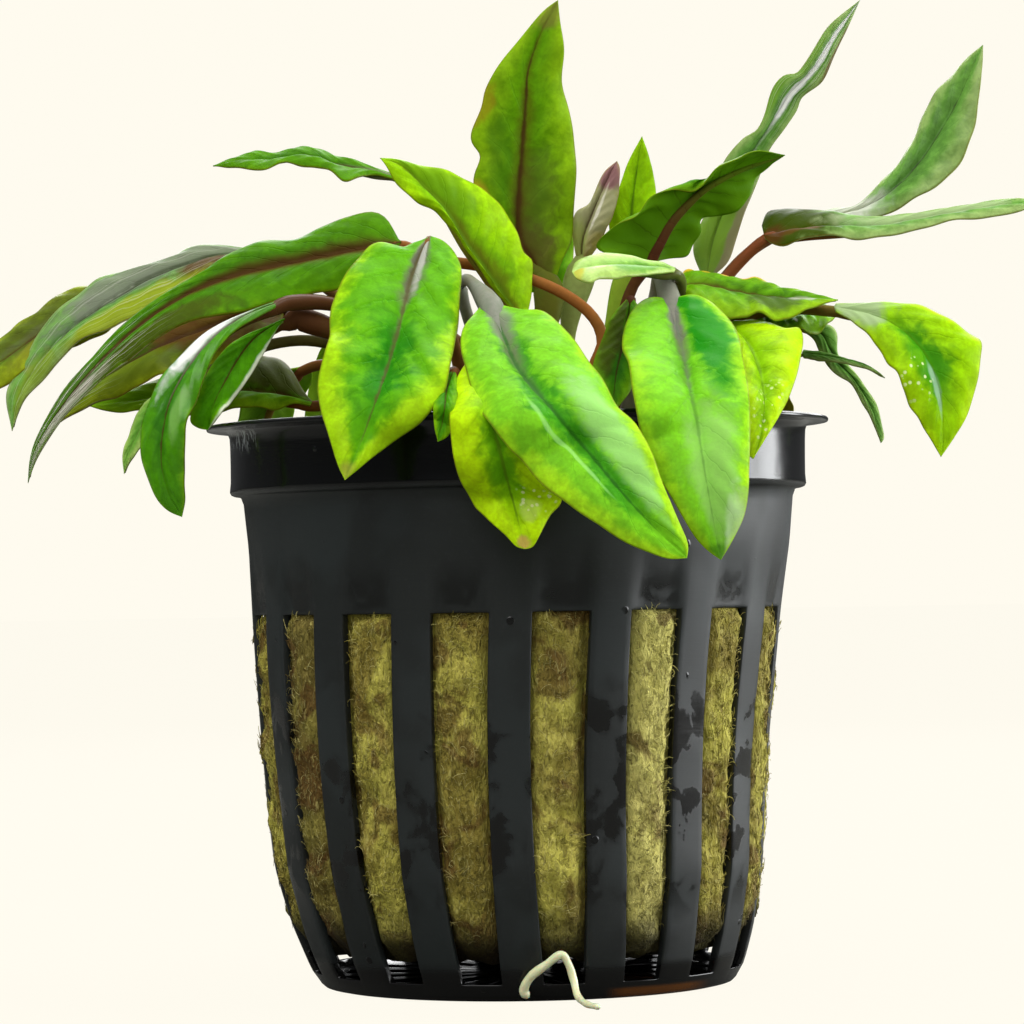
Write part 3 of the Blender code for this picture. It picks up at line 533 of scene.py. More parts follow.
leaf(
    "leaf_far_left", ("rear_right", 172, 3.0), [(-4, 13.5, 55), (-14, 14, 60.5), (-23, 13.6, 62.4)],
    left="188,269 155,267 125,273 88,289 61,296 45,306 20,322 0,335 -25,356 -48,383",
    right="188,274 150,300 110,325 75,345 45,362 20,378 0,386 -22,392 -48,383",
    mid="190,271 150,284 110,298 75,315 45,332 20,350 0,364 -25,378 -48,383",
    depth=(13, 12.6, 12, 11.4, 10.6), faces=[(-0.1, -0.5, 0.85), (-0.4, -0.6, 0.6)],
    look="olive", red=0.3, coat=0.2, marks=[(0.4, 0, 0.5, 1, "5a5420", 0.5), (0.5, 0.6, 0.3, 0.4, "8a8a20", 0.6)],
)
leaf(
    "leaf_olive_left", ("rear_left", 185, 2.2), [(-12, 6.6, 54), (-17, 5.2, 57.4)],
    left="282,300 240,305 200,312 160,325 120,352 85,385 60,412 44,434",
    right="282,330 245,352 205,367 166,379 124,392 84,408 55,426 44,434",
    mid="284,309 240,318 200,332 160,348 120,370 85,392 60,415 44,434",
    depth=(4.4, 3.4, 2.4, 1.2, 0), faces=[(0.1, -0.5, 0.85), (-0.3, -0.5, 0.8)],
    look="olive", sheath=0.6, stalk="6a4226", streaks=(0.75, 0.5),
    marks=[(0.2, 0, 0.3, 1, "6a3c1c", 0.8), (0.6, 0.5, 0.2, 0.5, "7c8c1c", 0.6)],
)
leaf(
    "leaf_rim_left", ("rear_left", 200, 1.0), [(-11.5, 6.6, 49.6), (-15.4, 5.8, 50.5)],
    left="310,400 303,390 289,367 265,357 240,357 200,366 160,380 120,394 85,405",
    right="310,406 292,403 263,409 220,412 180,413 138,413 110,411 85,405",
    mid="312,403 290,398 260,394 225,392 190,394 150,400 115,404 85,405",
    depth=(5.4, 5, 4.8, 4.8), faces=[(0, -0.6, 0.8)], look="moss",
    marks=[(0.16, -0.6, 0.26, 0.8, "46401a", 0.85), (0.7, 0, 0.4, 1.2, "82b414", 0.6)],
)
leaf(
    "leaf_hanging_left", ("left", 195, 3.0), [(-8, -2.6, 54), (-12.5, -4, 58), (-16.5, -5, 59.4)],
    left="288,298 270,304 252,312 216,326 196,339 160,382 145,412 140,436 142,463 155,495 168,511"
    " 182,517",
    right="288,302 260,316 232,334 215,354 203,379 195,402 188,423 185,455 184,479 185,500 182,517",
    mid="290,300 262,309 235,322 212,340 190,366 172,398 164,430 162,460 168,490 182,517",
    depth=(-6, -8.6, -10.8, -11.8, -12), faces=[(-0.3, -0.7, 0.65), (-0.4, -0.9, 0.2)],
    look="green", gloss=0.2, coat=0.5, lime=(0.9, 1.5, 0.3), patch=0.7, sheath=0.25,
    stalk="5c3a22",
    # The white mark is a painted highlight.
    marks=[(0.32, -0.5, 0.22, 0.55, "fafbf8", 1.0), (0.62, 0.5, 0.12, 0.3, "8cc060", 0.6),
           (0.12, 0.2, 0.12, 0.8, "5c8a3c", 0.6)],
)
leaf(
    "leaf_short_left", ("left", 205, 1.2), [(-8, -3.4, 51), (-12, -4, 55), (-16, -4.2, 57)],
    left="296,313 263,328 240,338 224,350 209,369 196,401 190,420 198,428 208,430",
    right="296,318 284,321 273,336 263,355 248,380 232,401 220,416 208,430",
    mid="298,316 275,325 255,338 240,356 226,380 214,404 208,430",
    depth=(-4.4, -5.4, -7, -9, -10), faces=[(0.1, -0.75, 0.6), (0.2, -0.95, 0.2)], over_rim=True,
    look="green", lime=(0.8, 1.5, 0.3), patch=0.2, marks=[(0.62, 1.0, 0.55, 0.2, "e4ecd0", 0.95)],
    stalk="5c3a22", sheath=0.6,
)
leaf(
    "leaf_small_hanging_left", ("rear_left", 215, 2.6),
    [(-11.5, 3.2, 53.4), (-17, 1.0, 56), (-22, -0.8, 55.8), (-26, -1.8, 53.8)],
    left="182,384 160,392 147,402 137,414 130,431 123,455 124,474",
    right="182,390 165,405 152,425 140,449 130,462 124,474",
    mid="184,387 162,399 149,412 140,431 130,452 124,474",
    depth=(-2.4, -3, -3.5, -4), faces=[(-0.3, -0.8, 0.4)], look="pale",
    stalk="4e3a20", sheath=0.4,
)
leaf(
    "leaf_front_left", ("left", 225, 3.2), [(-5.2, -4.2, 54), (-6.6, -5.8, 60), (-7.4, -7.4, 63.4)],
    left="424,240 412,243 402,249 385,246 368,248 351,268 338,287 330,309 329,342 318,380 320,406"
    " 330,440 338,466 345,480",
    right="432,237 440,239 449,246 457,258 462,272 459,305 456,337 448,384 434,408 417,425 387,446"
    " 367,463 345,480",
    mid="430,238 421,252 410,282 400,325 390,360 379,394 368,425 356,455 345,480",
    depth=(-9.6, -14, -19, -23, -26.4, -28.2), faces=[(0, -0.7, 0.7), (-0.1, -0.9, 0.4), (0, -1, 0.1)],
    over_rim=True, look="bright", patch=0.85, gloss=0.26, film=0.95, heart=(0.35, 0.85, 0.3), rib=(0.07, 0.03, 0.75),
    lime=(0.78, 1.25, 0.9), marks=[(0.05, 0.1, 0.2, 0.3, "6e6c5c", 0.85), (0.1, 0.14, 0.14, 0.12, "c4c4ba", 0.8),
                                   (0.97, 0, 0.05, 1, "a89048", 0.5)],
)
leaf(
    "leaf_front_lime", ("left", 300, 2.2), [(-0.8, -6, 50.6), (-1.4, -9.4, 54)],
    left="484,352 470,362 458,375 451,395 450,428 456,468 470,499 489,521 507,537 516,547 525,549",
    right="489,352 499,365 506,390 518,425 534,455 548,478 560,492 562,502 551,513 537,541 532,548 525,549",
    mid="487,350 484,375 490,412 500,450 510,490 519,525 525,549",
    depth=(-11.4, -15.6, -20.4, -25, -27.4, -28.4), faces=[(0, -0.7, 0.7), (0, -1, 0.1)],
    over_rim=True, look="sunny", drops=(0.74, 0.5, 0.1, 0.5), patch=0.8, gloss=0.3, heart=(0.3, 0.85, 0.3), lime=(0.2, 0.9, 0.5),
    marks=[(0.8, 0.45, 0.08, 0.3, "c8e068", 0.6), (0.97, 0, 0.05, 1, "e0a868", 0.7)],
)
leaf(
    "leaf_front_centre", ("left", 268, 3.4), [(-3.2, -5.4, 54), (-4.7, -7.6, 59.4), (-4.4, -9, 61.3)],
    left="484,302 474,315 463,328 460,343 464,362 474,394 493,428 515,458 543,483 566,501 608,531"
    " 638,549 667,559 687,558",
    right="492,302 505,306 519,307 543,315 566,333 594,367 614,396 638,428 659,473 673,507 688,543"
    " 687,558",
    mid="488,300 503,335 519,371 552,410 590,455 625,497 657,531 687,558",
    depth=(-12, -19, -26.4, -31.6, -34, -34), faces=[(0.1, -0.75, 0.65), (0.1, -0.95, 0.3)],
    over_rim=True, look="fresh", patch=0.8, gloss=0.28, film=0.7, heart=(0.1, 0.95, 0.22), gap=1.0, rib=(0.07, 0.04, 0.85),
    # The first, pale mark on the right half is a painted gloss highlight.
    lime=(0.75, 1.2, 0.45), marks=[(0.6, 0.5, 0.28, 0.35, "a4dc80", 0.7), (0.0, 0.1, 0.16, 0.5, "84887a", 0.7),
                                  (0.52, -0.28, 0.18, 0.05, "b4f090", 0.45)],
    stalk="9a988e", sheath=0.6,
)
leaf(
    "leaf_front_right", ("right", 285, 3.4), [(10.6, -5, 54), (12, -7, 59.5), (12.6, -8.8, 61.2)],
    left="666,299 655,297 644,300 631,310 623,334 625,357 638,420 650,459 663,483 689,529 707,550 721,560",
    right="674,299 688,295 702,297 716,302 728,315 738,334 747,379 750,409 750,459 746,509 734,538 721,560",
    mid="670,298 674,318 682,348 690,390 698,430 706,480 714,525 721,560",
    depth=(-11, -17, -23.4, -28.2, -30, -30.2), faces=[(0, -0.75, 0.65), (0.05, -1, 0.2)],
    over_rim=True, look="fresh", patch=0.3, gloss=0.24, film=0.95, heart=(0.1, 0.5, 0.3), gap=0.3, rib=(0.08, 0.02, 0.4),
    lime=(0.7, 1.3, 0.3), stalk="9a948c", sheath=0.5,
    marks=[(0.2, 0.55, 0.28, 0.4, "0f8a12", 0.9), (0.02, 0, 0.16, 0.26, "8c8a84", 0.9),
                                 (0.7, 0.2, 0.3, 0.6, "a0d470", 0.6), (0.86, 0.7, 0.12, 0.35, "dcf0c8", 0.45),
           (0.97, 0, 0.04, 1, "3a7a1c", 0.6)],
)
leaf(
    "leaf_lime_right", ("right", 318, 0.8), [(14, -5.4, 53), (17, -7.4, 56.6)],
    left="728,326 733,350 737,400 741,435 746,452 753,459",
    right="736,321 769,321 795,328 803,340 801,357 794,384 780,415 766,438 753,459",
    mid="730,324 748,345 760,375 764,405 761,435 753,459",
    depth=(-9, -13.6, -18, -21, -22.6), faces=[(0.3, -0.7, 0.65), (0.3, -0.95, 0.1)],
    over_rim=True, look="lime", patch=0.15, gloss=0.26, lime=(0.1, 0.8, 0.4), rib=(0.08, 0.02, 0.4),
    drops=(0.7, 0.1, 0.2, 0.7),
)
leaf(
    "leaf_behind_front_left", ("left", 245, 1.2), [(-4.8, -8, 50.6), (-5.6, -14, 53)],
    left="452,372 441,382 434,400 434,425 438,442",
    right="456,372 458,390 455,415 449,435 438,442",
    mid="454,370 447,390 444,415 438,442",
    depth=(-18, -23, -27, -28.2), faces=[(0, -0.8, 0.6), (0, -1, 0.1)], over_rim=True, look="green",
)
leaf(
    "leaf_dark_middle", ("right", 240, 1.4), [(7.6, -4.4, 50.6), (8.2, -6, 55)],
    left="626,300 612,316 603,336 596,354 592,372 598,392 612,414",
    right="634,300 644,316 646,340 640,365 630,392 612,414",
    mid="630,300 628,318 623,345 616,375 612,414",
    depth=(-7.8, -9.8, -12, -14, -15.4), faces=[(0.1, -0.8, 0.6), (0.1, -0.95, 0.2)],
    look="dark", patch=0.8, marks=[(0.3, -0.5, 0.4, 0.5, "4a3416", 0.6)],
)
leaf(
    "leaf_foreshortened", ("right", 306, 3.0), [(11.4, -3.8, 51), (13.4, -5.6, 56.6), (14.3, -8.2, 60.4)],
    left="674,268 660,263 646,262 625,256 606,255 588,258 575,263 572,272",
    right="674,272 663,273 640,276 603,279 590,283 577,279 572,272",
    mid="676,270 650,268 625,267 600,268 585,270 572,272",
    depth=(-11, -12.6, -14, -15.4), faces=[(0, -0.38, 0.92)], look="pale", patch=0.0, gloss=0.22, lime=(0.0, 0.9, 0.5), ribbed=0.0, pleat=0.0, ruffle=0.04, coat=0.3,
    marks=[(0.3, 0.4, 0.3, 0.6, "4f9a2c", 0.7), (0.92, 0.6, 0.08, 0.6, "d8c840", 0.7)],
)
leaf(
    "leaf_dark_rib_right", ("right", 85, 3.4), [(8.8, 2.6, 53), (9.0, 2.2, 57), (10.1, 2, 60.4)],
    left="645,264 610,254 596,249 600,238 615,223 636,214 649,204 673,191 692,191 714,170 739,157"
    " 760,152 785,155",
    right="651,264 658,261 684,254 699,233 702,219 722,218 736,209 747,196 760,175 772,165 785,155",
    mid="648,264 656,245 672,218 696,193 720,178 747,166 785,155",
    depth=(2, 1.8, 1.8, 2.4, 3.2), faces=[(-0.35, 0.8, 0.5), (-0.65, 0.3, 0.65)], reach=2.2,
    look="dark", red=0.3, patch=0.3, rib=(0.2, 0.08, 0.95),
)
leaf(
    "leaf_tall_right", ("right", 60, 2.0), [(13.6, 5.2, 53), (16.0, 6, 58)],
    left="702,276 693,252 697,232 706,212 715,190 724,161 745,136 755,132 764,115 774,86 787,73"
    " 795,76 804,65 818,42 831,23 860,0",
    right="713,276 728,262 736,240 745,212 753,193 762,170 770,149 787,126 798,109 799,99 810,90"
    " 822,82 833,59 843,38 860,0",
    mid="707,278 712,245 722,215 738,180 750,155 765,132 778,112 788,95 802,80 818,60 835,32 860,0",
    depth=(6.2, 6.2, 6.2, 6.2, 6.8), faces=[(-0.3, -0.95, 0), (0.4, -0.8, 0.2), (0.5, -0.7, 0.2)],
    look="gray", gloss=0.26, coat=0.3, rib=(0.05, 0.02, 0.3), patch=0.4, streaks=(0.5, 0.4),
    # The white mark along the midrib is a painted highlight.
    marks=[(0.18, 0, 0.2, 1.3, "8cb43c", 0.85), (0.74, 0.05, 0.34, 0.26, "ffffff", 1.0),
           (0.7, -0.85, 0.3, 0.3, "7ab030", 0.8), (0.8, 0.95, 0.14, 0.25, "6a4a2c", 0.8),
           (0.15, 0.85, 0.2, 0.3, "a08a7c", 0.7)],
)
leaf(
    "leaf_gray_green_right", ("right", 35, 3.0), [(15.4, 3.6, 57), (19.6, 4.4, 62.6), (23.8, 4.8, 65.2)],
    left="805,219 832,208 859,205 889,172 908,149 924,116 943,85 962,62 983,45",
    right="805,224 839,221 860,220 885,214 912,202 935,189 954,168 968,145 977,112 982,78 983,45",
    mid="803,222 840,215 870,205 898,186 922,160 942,130 960,98 983,45",
    depth=(5, 5, 5, 5), faces=[(-0.5, -0.75, 0.45)], look="gray", patch=0.4, gloss=0.3, coat=0.2, rib=(0.05, 0.02, 0.7),
    marks=[(0.14, 0, 0.2, 1.1, "dce0d0", 0.9)],
)
leaf(
    "leaf_level_right", ("right", 12, 3.2), [(15.0, 0.4, 56.4), (18.6, 0.2, 61.4)],
    left="762,226 768,211 785,213 806,210 830,209 852,214 866,219 903,216 941,210 979,203 1024,200"
    " 1042,202",
    right="763,236 772,243 800,242 838,238 874,237 903,232 950,223 1000,214 1024,210 1042,202",
    mid="764,236 800,231 840,229 880,227 920,220 960,213 1000,207 1042,202",
    depth=(0, -0.4, -0.6, -0.2, 0.4), faces=[(0, -0.45, 0.88)], look="gray", gloss=0.28, rib=(0.05, 0.02, 0.3),
    stalk="8a4a2c",
    marks=[(0.1, 0, 0.2, 1.8, "3e5008", 1.0), (0.12, 0.3, 0.1, 0.4, "6a4a20", 0.8), (0.03, 0.4, 0.06, 0.8, "5a3418", 0.8),
           (0.6, -0.2, 0.35, 0.5, "c0d49c", 0.6)],
)
leaf(
    "leaf_hanging_right", ("right", 340, 3.0), [(14.6, -2.2, 54.6), (19.4, -3.6, 57.4), (23.6, -4.6, 58.2)],
    left="836,304 873,302 900,303 921,307 944,319 965,328 982,337 981,356 976,385 967,415 954,438"
    " 941,457",
    right="836,312 852,322 867,333 881,350 892,368 902,389 918,417 931,440 941,457",
    mid="834,308 868,314 895,325 918,345 933,370 941,400 943,430 941,457",
    depth=(-5.8, -7, -8.6, -9.8, -10.4), faces=[(-0.1, -0.6, 0.8), (0.2, -0.95, 0.3)],
    look="lime", patch=0.9, gloss=0.28, heart=(0.3, 0.85, 0.3), rib=(0.05, 0.02, 0.4),
    lime=(0.6, 1.3, 0.3), drops=(0.58, 0.6, 0.13, 0.5),
    marks=[(0.1, 0, 0.16, 1.3, "a8bc90", 0.85), (0.5, 0.2, 0.2, 0.4, "3f9410", 0.7),
           # The small pale gray mark near the midrib is a painted highlight.
           (0.66, 0.1, 0.14, 0.12, "a8ccac", 0.7)],
)
leaf(
    "leaf_olive_right", ("right", 327, 4.6), [(11.8, -3.2, 55), (12.4, -4.2, 59.4)],
    left="678,283 686,273 710,274 732,279 758,284 791,290 820,297 838,300",
    right="678,290 690,300 712,311 740,318 768,318 795,314 818,306 838,300",
    mid="676,287 705,287 735,293 765,298 800,300 838,300",
    depth=(-5, -5.8, -6.6, -7.4), faces=[(0, -0.4, 0.92)], look="moss", gloss=0.3, red=0.2, patch=0.8,
    marks=[(0.35, -1.0, 0.36, 0.4, "f0c030", 1.0), (0.62, 0.4, 0.2, 0.5, "44581c", 0.8),
           (0.8, 0.2, 0.1, 0.3, "d4d8c0", 0.6)],
)
leaf(
    "leaf_dark_right", ("right", 346, 0.2), [(14.6, -0.4, 52.6), (18.0, -0.8, 56.4)],
    left="747,306 783,302 810,303 827,306 838,314",
    right="747,318 772,332 800,334 826,326 838,314",
    mid="745,311 775,313 805,314 838,314",
    depth=(-1, -1.4, -1.8), faces=[(0, -0.4, 0.92)], look="green", coat=0.3,
)
leaf(
    "leaf_twisted_right", ("right", 26, 1.0), [(15.4, 2.6, 52.4), (20, 2.8, 55.8), (24, 2.4, 56.9)],
    left="803,326 821,324 835,330 838,353 847,363 858,377 872,397 878,408 884,437 881,443",
    right="803,331 812,338 818,346 829,368 840,377 852,385 862,402 870,417 877,433 881,443",
    mid="801,328 820,334 828,348 836,362 848,374 860,390 872,412 881,443",
    depth=(1.8, 1.2, 0.6, 0, -0.4), faces=[(0.3, -0.8, 0.5), (0.5, -0.85, 0.1)],
    look="gray", patch=0.7, slim=0.5,
)
leaf(
    "leaf_whisker_right", ("right", 8, 0.2), [(14.6, 0.6, 49.6), (19.6, 0.8, 52.8)],
    left="804,350 825,353 846,359 867,366 885,378",
    right="804,358 825,361 846,364 867,369 885,378",
    mid="802,354 825,357 846,361 867,367 885,378",
    depth=(0.6, -0.6, -1.2), faces=[(0, -0.6, 0.8)], look="gray", patch=0.5, slim=0.35,
)
# Leaves behind, by their own line and width
leaf(
    "leaf_back_left", ("rear_left", 100, 3.0), [(-7, 14, 55), (-8.6, 18, 58.6)],
    blade=[(-9.8, 21, 58.6), (-12.4, 25, 56.6), (-15, 28, 52), (-16.8, 29.6, 46.6), (-17.6, 30, 41.2)],
    width=7.6, ruffle=0.26, bulge=0.2, faces=[(0, 0.6, 0.8), (-0.1, 1, 0.1)], look="bright", patch=0.6,
)
leaf(
    "leaf_back_centre", ("rear_left", 62, 2.4), [(-2.4, 14.6, 54), (-1.6, 18.6, 57)],
    blade=[(-1.2, 22, 57), (0.2, 26.8, 54.6), (0.8, 30.2, 49.4), (0.2, 31.8, 43), (-1.6, 32.2, 36.4)],
    width=9.4, ruffle=0.2, faces=[(0, 0.6, 0.8), (0, 1, 0.1)], look="lime", patch=0.7,
)
leaf(
    "leaf_back_right", ("rear_right", 60, 3.2), [(9.2, 17.4, 54.6), (11, 20.4, 57.4)],
    blade=[(12.2, 23, 57.2), (13.2, 26.4, 55.6), (14.6, 29.2, 51.6), (14.8, 30.6, 46.2), (13.6, 31, 40.6)],
    width=8.0, ruffle=0.24, bulge=0.08, faces=[(0.1, 0.6, 0.8), (0.1, 1, 0.1)], look="bright", patch=0.7,
)
leaf(
    "leaf_back_far_right", ("rear_right", 25, 2.0), [(13, 15.6, 53.4), (16.4, 17.8, 55.6)],
    blade=[(18.6, 19.6, 55.2), (20.6, 22.6, 52.4), (21.4, 25, 48), (21.4, 26.2, 42)],
    width=6.8, faces=[(0.5, 0.5, 0.7), (0.6, 0.8, 0.1)], look="olive",
)
leaf(
    "leaf_back_far_left", ("rear_left", 135, 1.8), [(-12, 14.6, 52.4), (-16.6, 17.6, 54)],
    blade=[(-19, 19.4, 53.8), (-21.4, 22, 51.4), (-22.8, 24, 47), (-23, 25, 41.6)],
    width=6.6, faces=[(-0.5, 0.5, 0.7), (-0.6, 0.8, 0.1)], look="green",
)
leaf(
    "leaf_back_upright", ("rear_right", 105, 3.4), [(3.6, 16, 53), (2.6, 17.6, 57)],
    blade=[(2.2, 18.4, 60), (1.6, 19.4, 64.5), (1.2, 20.8, 69), (1.4, 22.6, 73.4)],
    width=7.2, faces=[(0.1, -1, 0.5)], look="dark", red=0.5,
)


def face_directions(row, shares):
    """The direction that the upper side looks in at each share of the blade's length."""
    faces = np.array(row["faces"], float)
    at = np.linspace(0, 1, len(faces))
    return unit(np.stack([np.interp(shares, at, faces[:, k]) for k in range(3)], 1))


def margin_points(outline, middle, normals, shares, reach):
    """The outline, laid on the plane through the midrib that looks along normals."""
    edge = smooth_line(places(outline), shares)
    toward = ray(edge)
    facing = (toward * normals).sum(1)
    facing = np.where(np.abs(facing) < 0.15, np.copysign(0.15, facing), facing)
    distance = ((middle - EYE) * normals).sum(1) / facing
    flat = distance + EYE[1]
    depth = np.clip(flat, middle[:, 1] - reach, middle[:, 1] + reach)
    depth = smooth_rows(depth[:, None], 10)[:, 0]
    return EYE + toward * (depth - EYE[1])[:, None]


def blade_lines(row, shares):
    """Left margin, midrib and right margin of a blade as points."""
    if "mid" in row:
        middle_place = smooth_line(places(row["mid"]), shares)
        middle = at_place(middle_place, smooth_values(row["depth"], shares))
        normals = face_directions(row, shares)
        reach = row.get("reach", 4.5)
        left = margin_points(row["left"], middle, normals, shares, reach)
        right = margin_points(row["right"], middle, normals, shares, reach)
        return left, middle, right
    middle = smooth_line([seen(*point) for point in row["blade"]], shares)
    normals = face_directions(row, shares)
    along = unit(np.gradient(middle, axis=0))
    side = unit(np.cross(along, normals))
    peak = 0.4 / (0.4 + 0.85)
    top = peak**0.4 * (1 - peak) ** 0.85
    half = row["width"] / 2 * np.clip(shares, 1e-4, 1) ** 0.4 * (1 - shares) ** 0.85 / top
    return middle - side * half[:, None], middle, middle + side * half[:, None]


RIM_CLEAR_RADIUS = 27.65
RIM_CLEAR_TOP = 49.3
RIM_SLOPE = 1.5
BAND_CLEAR_RADIUS = 25.9
FLANGE_CLEAR_BOTTOM = 46.6


def neighbours(values):
    """The grid, moved by one place to each of its four sides."""
    wide = np.pad(values, 1, mode="edge")
    return wide[:-2, 1:-1], wide[2:, 1:-1], wide[1:-1, :-2], wide[1:-1, 2:]


def clear_of_rim(surface, gap):
    """Moves a hanging blade along the line of sight until it clears the rim by the gap."""
    for _ in range(3):
        height = surface[..., 2]
        keep = np.where(
            height > RIM_CLEAR_TOP,
            RIM_CLEAR_RADIUS - RIM_SLOPE * (height - RIM_CLEAR_TOP),
            BAND_CLEAR_RADIUS
            + (RIM_CLEAR_RADIUS - BAND_CLEAR_RADIUS) * ease(height, 41.0, FLANGE_CLEAR_BOTTOM),
        )
        room = np.maximum(keep**2 - surface[..., 0] ** 2, 0)
        needed = np.where(keep > 0, -np.sqrt(room) - gap, 99)
        shift = np.minimum(0, needed - surface[..., 1])
        spread = shift
        for _ in range(5):
            near = neighbours(spread)
            spread = np.minimum.reduce([spread, *near])
        for _ in range(10):
            spread = (4 * spread + sum(neighbours(spread))) / 8
        toward = surface - EYE
        surface = surface + toward / toward[..., 1:2] * np.minimum(spread, shift)[..., None]
    return surface


def smooth_rows(values, turns):
    for _ in range(turns):
        inner = (values[:-2] + 2 * values[1:-1] + values[2:]) / 4
        values = np.vstack([values[:1], inner, values[-1:]])
    return values


def build_leaf(index, row):
    rng = np.random.RandomState(100 + index)
    shares = np.linspace(0, 1, ALONG_STEPS)
    left, middle, right = blade_lines(row, shares)
    left, right = smooth_rows(left, 2), smooth_rows(right, 2)
    v = np.linspace(-1, 1, ACROSS_STEPS)
    away = np.abs(v)[None, :, None]
    edge = np.where(v[None, :, None] < 0, left[:, None], right[:, None])
    surface = middle[:, None] * (1 - away) + edge * away

    if row.get("over_rim"):
        surface = clear_of_rim(surface, row.get("gap", 0.0))
        middle = surface[:, ACROSS_STEPS // 2]

    # Upper side from the grid's own directions
    du = np.gradient(surface, axis=0)
    dv = np.gradient(surface, axis=1)
    normal = unit(np.cross(du, dv))
    faces = face_directions(row, shares)[:, None]
    flip = np.sign((normal * faces).sum(2).mean()) or 1
    normal = unit(normal * flip + 0.25 * faces)

    half = np.linalg.norm(right - left, axis=1)[:, None] / 2
    u = shares[:, None]
    a = np.abs(v)[None, :]
    bulge = row.get("bulge", 0.14) * half * 4 * a * (1 - a)
    groove = -0.22 * np.exp(-((a / 0.07) ** 2)) * (1 - u)
    waves = np.zeros_like(a * u)
    for k in (2.3, 4.1, 7.3):
        phase = rng.uniform(0, 6.28, 2)
        swing = np.where(v[None, :] < 0, phase[0], phase[1])
        waves += np.sin(6.28 * k * u + swing) / k
    ruffle = row.get("ruffle", 0.16) * half * waves * a**2.2 * 1.2
    pleats = row.get("pleat", 0.035) * np.sin(6.28 * (row.get("veins", 9.0) * (u - 0.2 * a)))
    pleats = pleats * half**0.5 * 4 * a * (1 - a)
    taper = ease(u, 0, 0.12) * ease(u, 1.02, 0.9)
    lift = (bulge + groove + ruffle + pleats) * taper
    surface = surface + normal * lift[:, :, None]

    thick = 0.16 * (1 - 0.65 * a**3) * (0.35 + 0.65 * ease(1 - u, 0, 0.08))
    top = surface + normal * thick[:, :, None] / 1
    low = surface - normal * thick[:, :, None] / 1
    count = ALONG_STEPS * ACROSS_STEPS
    points = [top.reshape(-1, 3), low.reshape(-1, 3)]
    shell = grid_faces(ALONG_STEPS, ACROSS_STEPS)
    shell += [tuple(count + k for k in face[::-1]) for face in shell]
    rim = [r * ACROSS_STEPS for r in range(ALONG_STEPS)]
    rim += [(ALONG_STEPS - 1) * ACROSS_STEPS + c for c in range(1, ACROSS_STEPS)]
    rim += [r * ACROSS_STEPS + ACROSS_STEPS - 1 for r in range(ALONG_STEPS - 2, -1, -1)]
    rim += [c for c in range(ACROSS_STEPS - 2, 0, -1)]
    for p, q in zip(rim, rim[1:] + rim[:1]):
        shell.append((p, q, count + q, count + p))

    # Petiole and midrib: one tapering tube from the crown to the tip
    crown, bearing, rise = row["root"]
    across, depth = CROWNS[crown]
    angle = math.radians(bearing)
    reach = CROWN_REACH - 0.9
    foot = (across + reach * math.cos(angle), depth + reach * math.sin(angle), CROWN_FOOT + rise - 0.8)
    stem = [np.array(foot)] + [seen(*point) for point in row["petiole"]]
    under_line = middle + normal[:, ACROSS_STEPS // 2] * lift[:, ACROSS_STEPS // 2, None]
    slim = row.get("slim", 1.0)
    rib_radius = (0.42 * (1 - shares) ** 0.7 + 0.06) * slim
    under_line = under_line - normal[:, ACROSS_STEPS // 2] * (rib_radius * 0.75)[:, None]
    stem_shares = np.linspace(0, 1, 40)
    stalk = smooth_line(stem + [under_line[0], under_line[4]], stem_shares)
    length = np.concatenate([[0], np.cumsum(np.linalg.norm(np.diff(stalk, axis=0), axis=1))])
    stalk_radius = 0.54 * slim + 0.8 * (1 - ease(length, 0, 9.0)) - 0.04 * ease(length, 6, 14)
    stalk_radius = stalk_radius + row.get("sheath", 0) * ease(length, length[-1] - 8, length[-1] - 2)
    path = np.vstack([stalk, under_line[6:-1]])
    radii = np.concatenate([stalk_radius, rib_radius[6:-1]])
    radii = smooth_rows(radii[:, None], 8)[:, 0]
    sides = 10
    tube_points, tube_faces = tube(path, radii, sides, start=2 * count)
    points.append(tube_points)
    steps = len(path)

    along = np.repeat(shares, ACROSS_STEPS)
    side = np.tile(v, ALONG_STEPS)
    zeros = np.zeros(count)
    rib = np.concatenate([np.zeros(len(stalk)), shares[6:-1]]).repeat(sides)
    ones = np.ones(steps * sides)
    attributes = {
        "along": np.concatenate([along, along, rib]),
        "across": np.concatenate([side, side, ones * 0]),
        "under": np.concatenate([zeros, zeros + 1, ones]),
        "stem": np.concatenate([zeros, zeros, ones * np.repeat(1 - 0.55 * ease(
            np.concatenate([np.zeros(len(stalk)), shares[6:-1]]), 0.1, 0.8), sides)]),
    }
    fine = {key: row[key] for key in MATERIAL_KEYS if key in row}
    material = leaf_material(row["name"], row["look"], index + 1, **fine)
    add_piece(
        "fine_" + row["name"], np.vstack(points), shell + tube_faces, material, row["name"],
        attributes, len(shell),
    )


for index, row in enumerate(LEAVES):
    build_leaf(index, row)


# ---------------------------------------------------------------- pot
RIB_COUNT = 17
RIB_HALF_WIDTH = 1.78
RIB_MOST_ANGLE = 5.3
POT_TURN = -1.4
WALL = 0.8
FLOOR_HEIGHT = 1.0
DISC_RADIUS = 7.0
SPOKE_END_RADIUS = 16.0
BASE_RADIUS = 17.9
SLOT_BOTTOM = 1.5
SLOT_TOP = 32.3
BAND_BOTTOM = 42.7
BAND_RADIUS = 25.0
FLANGE_BOTTOM = 48.2
FLANGE_TOP = 48.7
FLANGE_RADIUS = 27.1
PITCH_ANGLE = 360 / RIB_COUNT
PROFILE_HEIGHTS = (0.0, 0.6, 1.5, 5.0, 10.5, 20.0, 32.3, 42.4, 60.0)
PROFILE_RADII = (17.9, 18.3, 18.8, 20.0, 21.25, 22.0, 23.0, 23.95, 25.0)


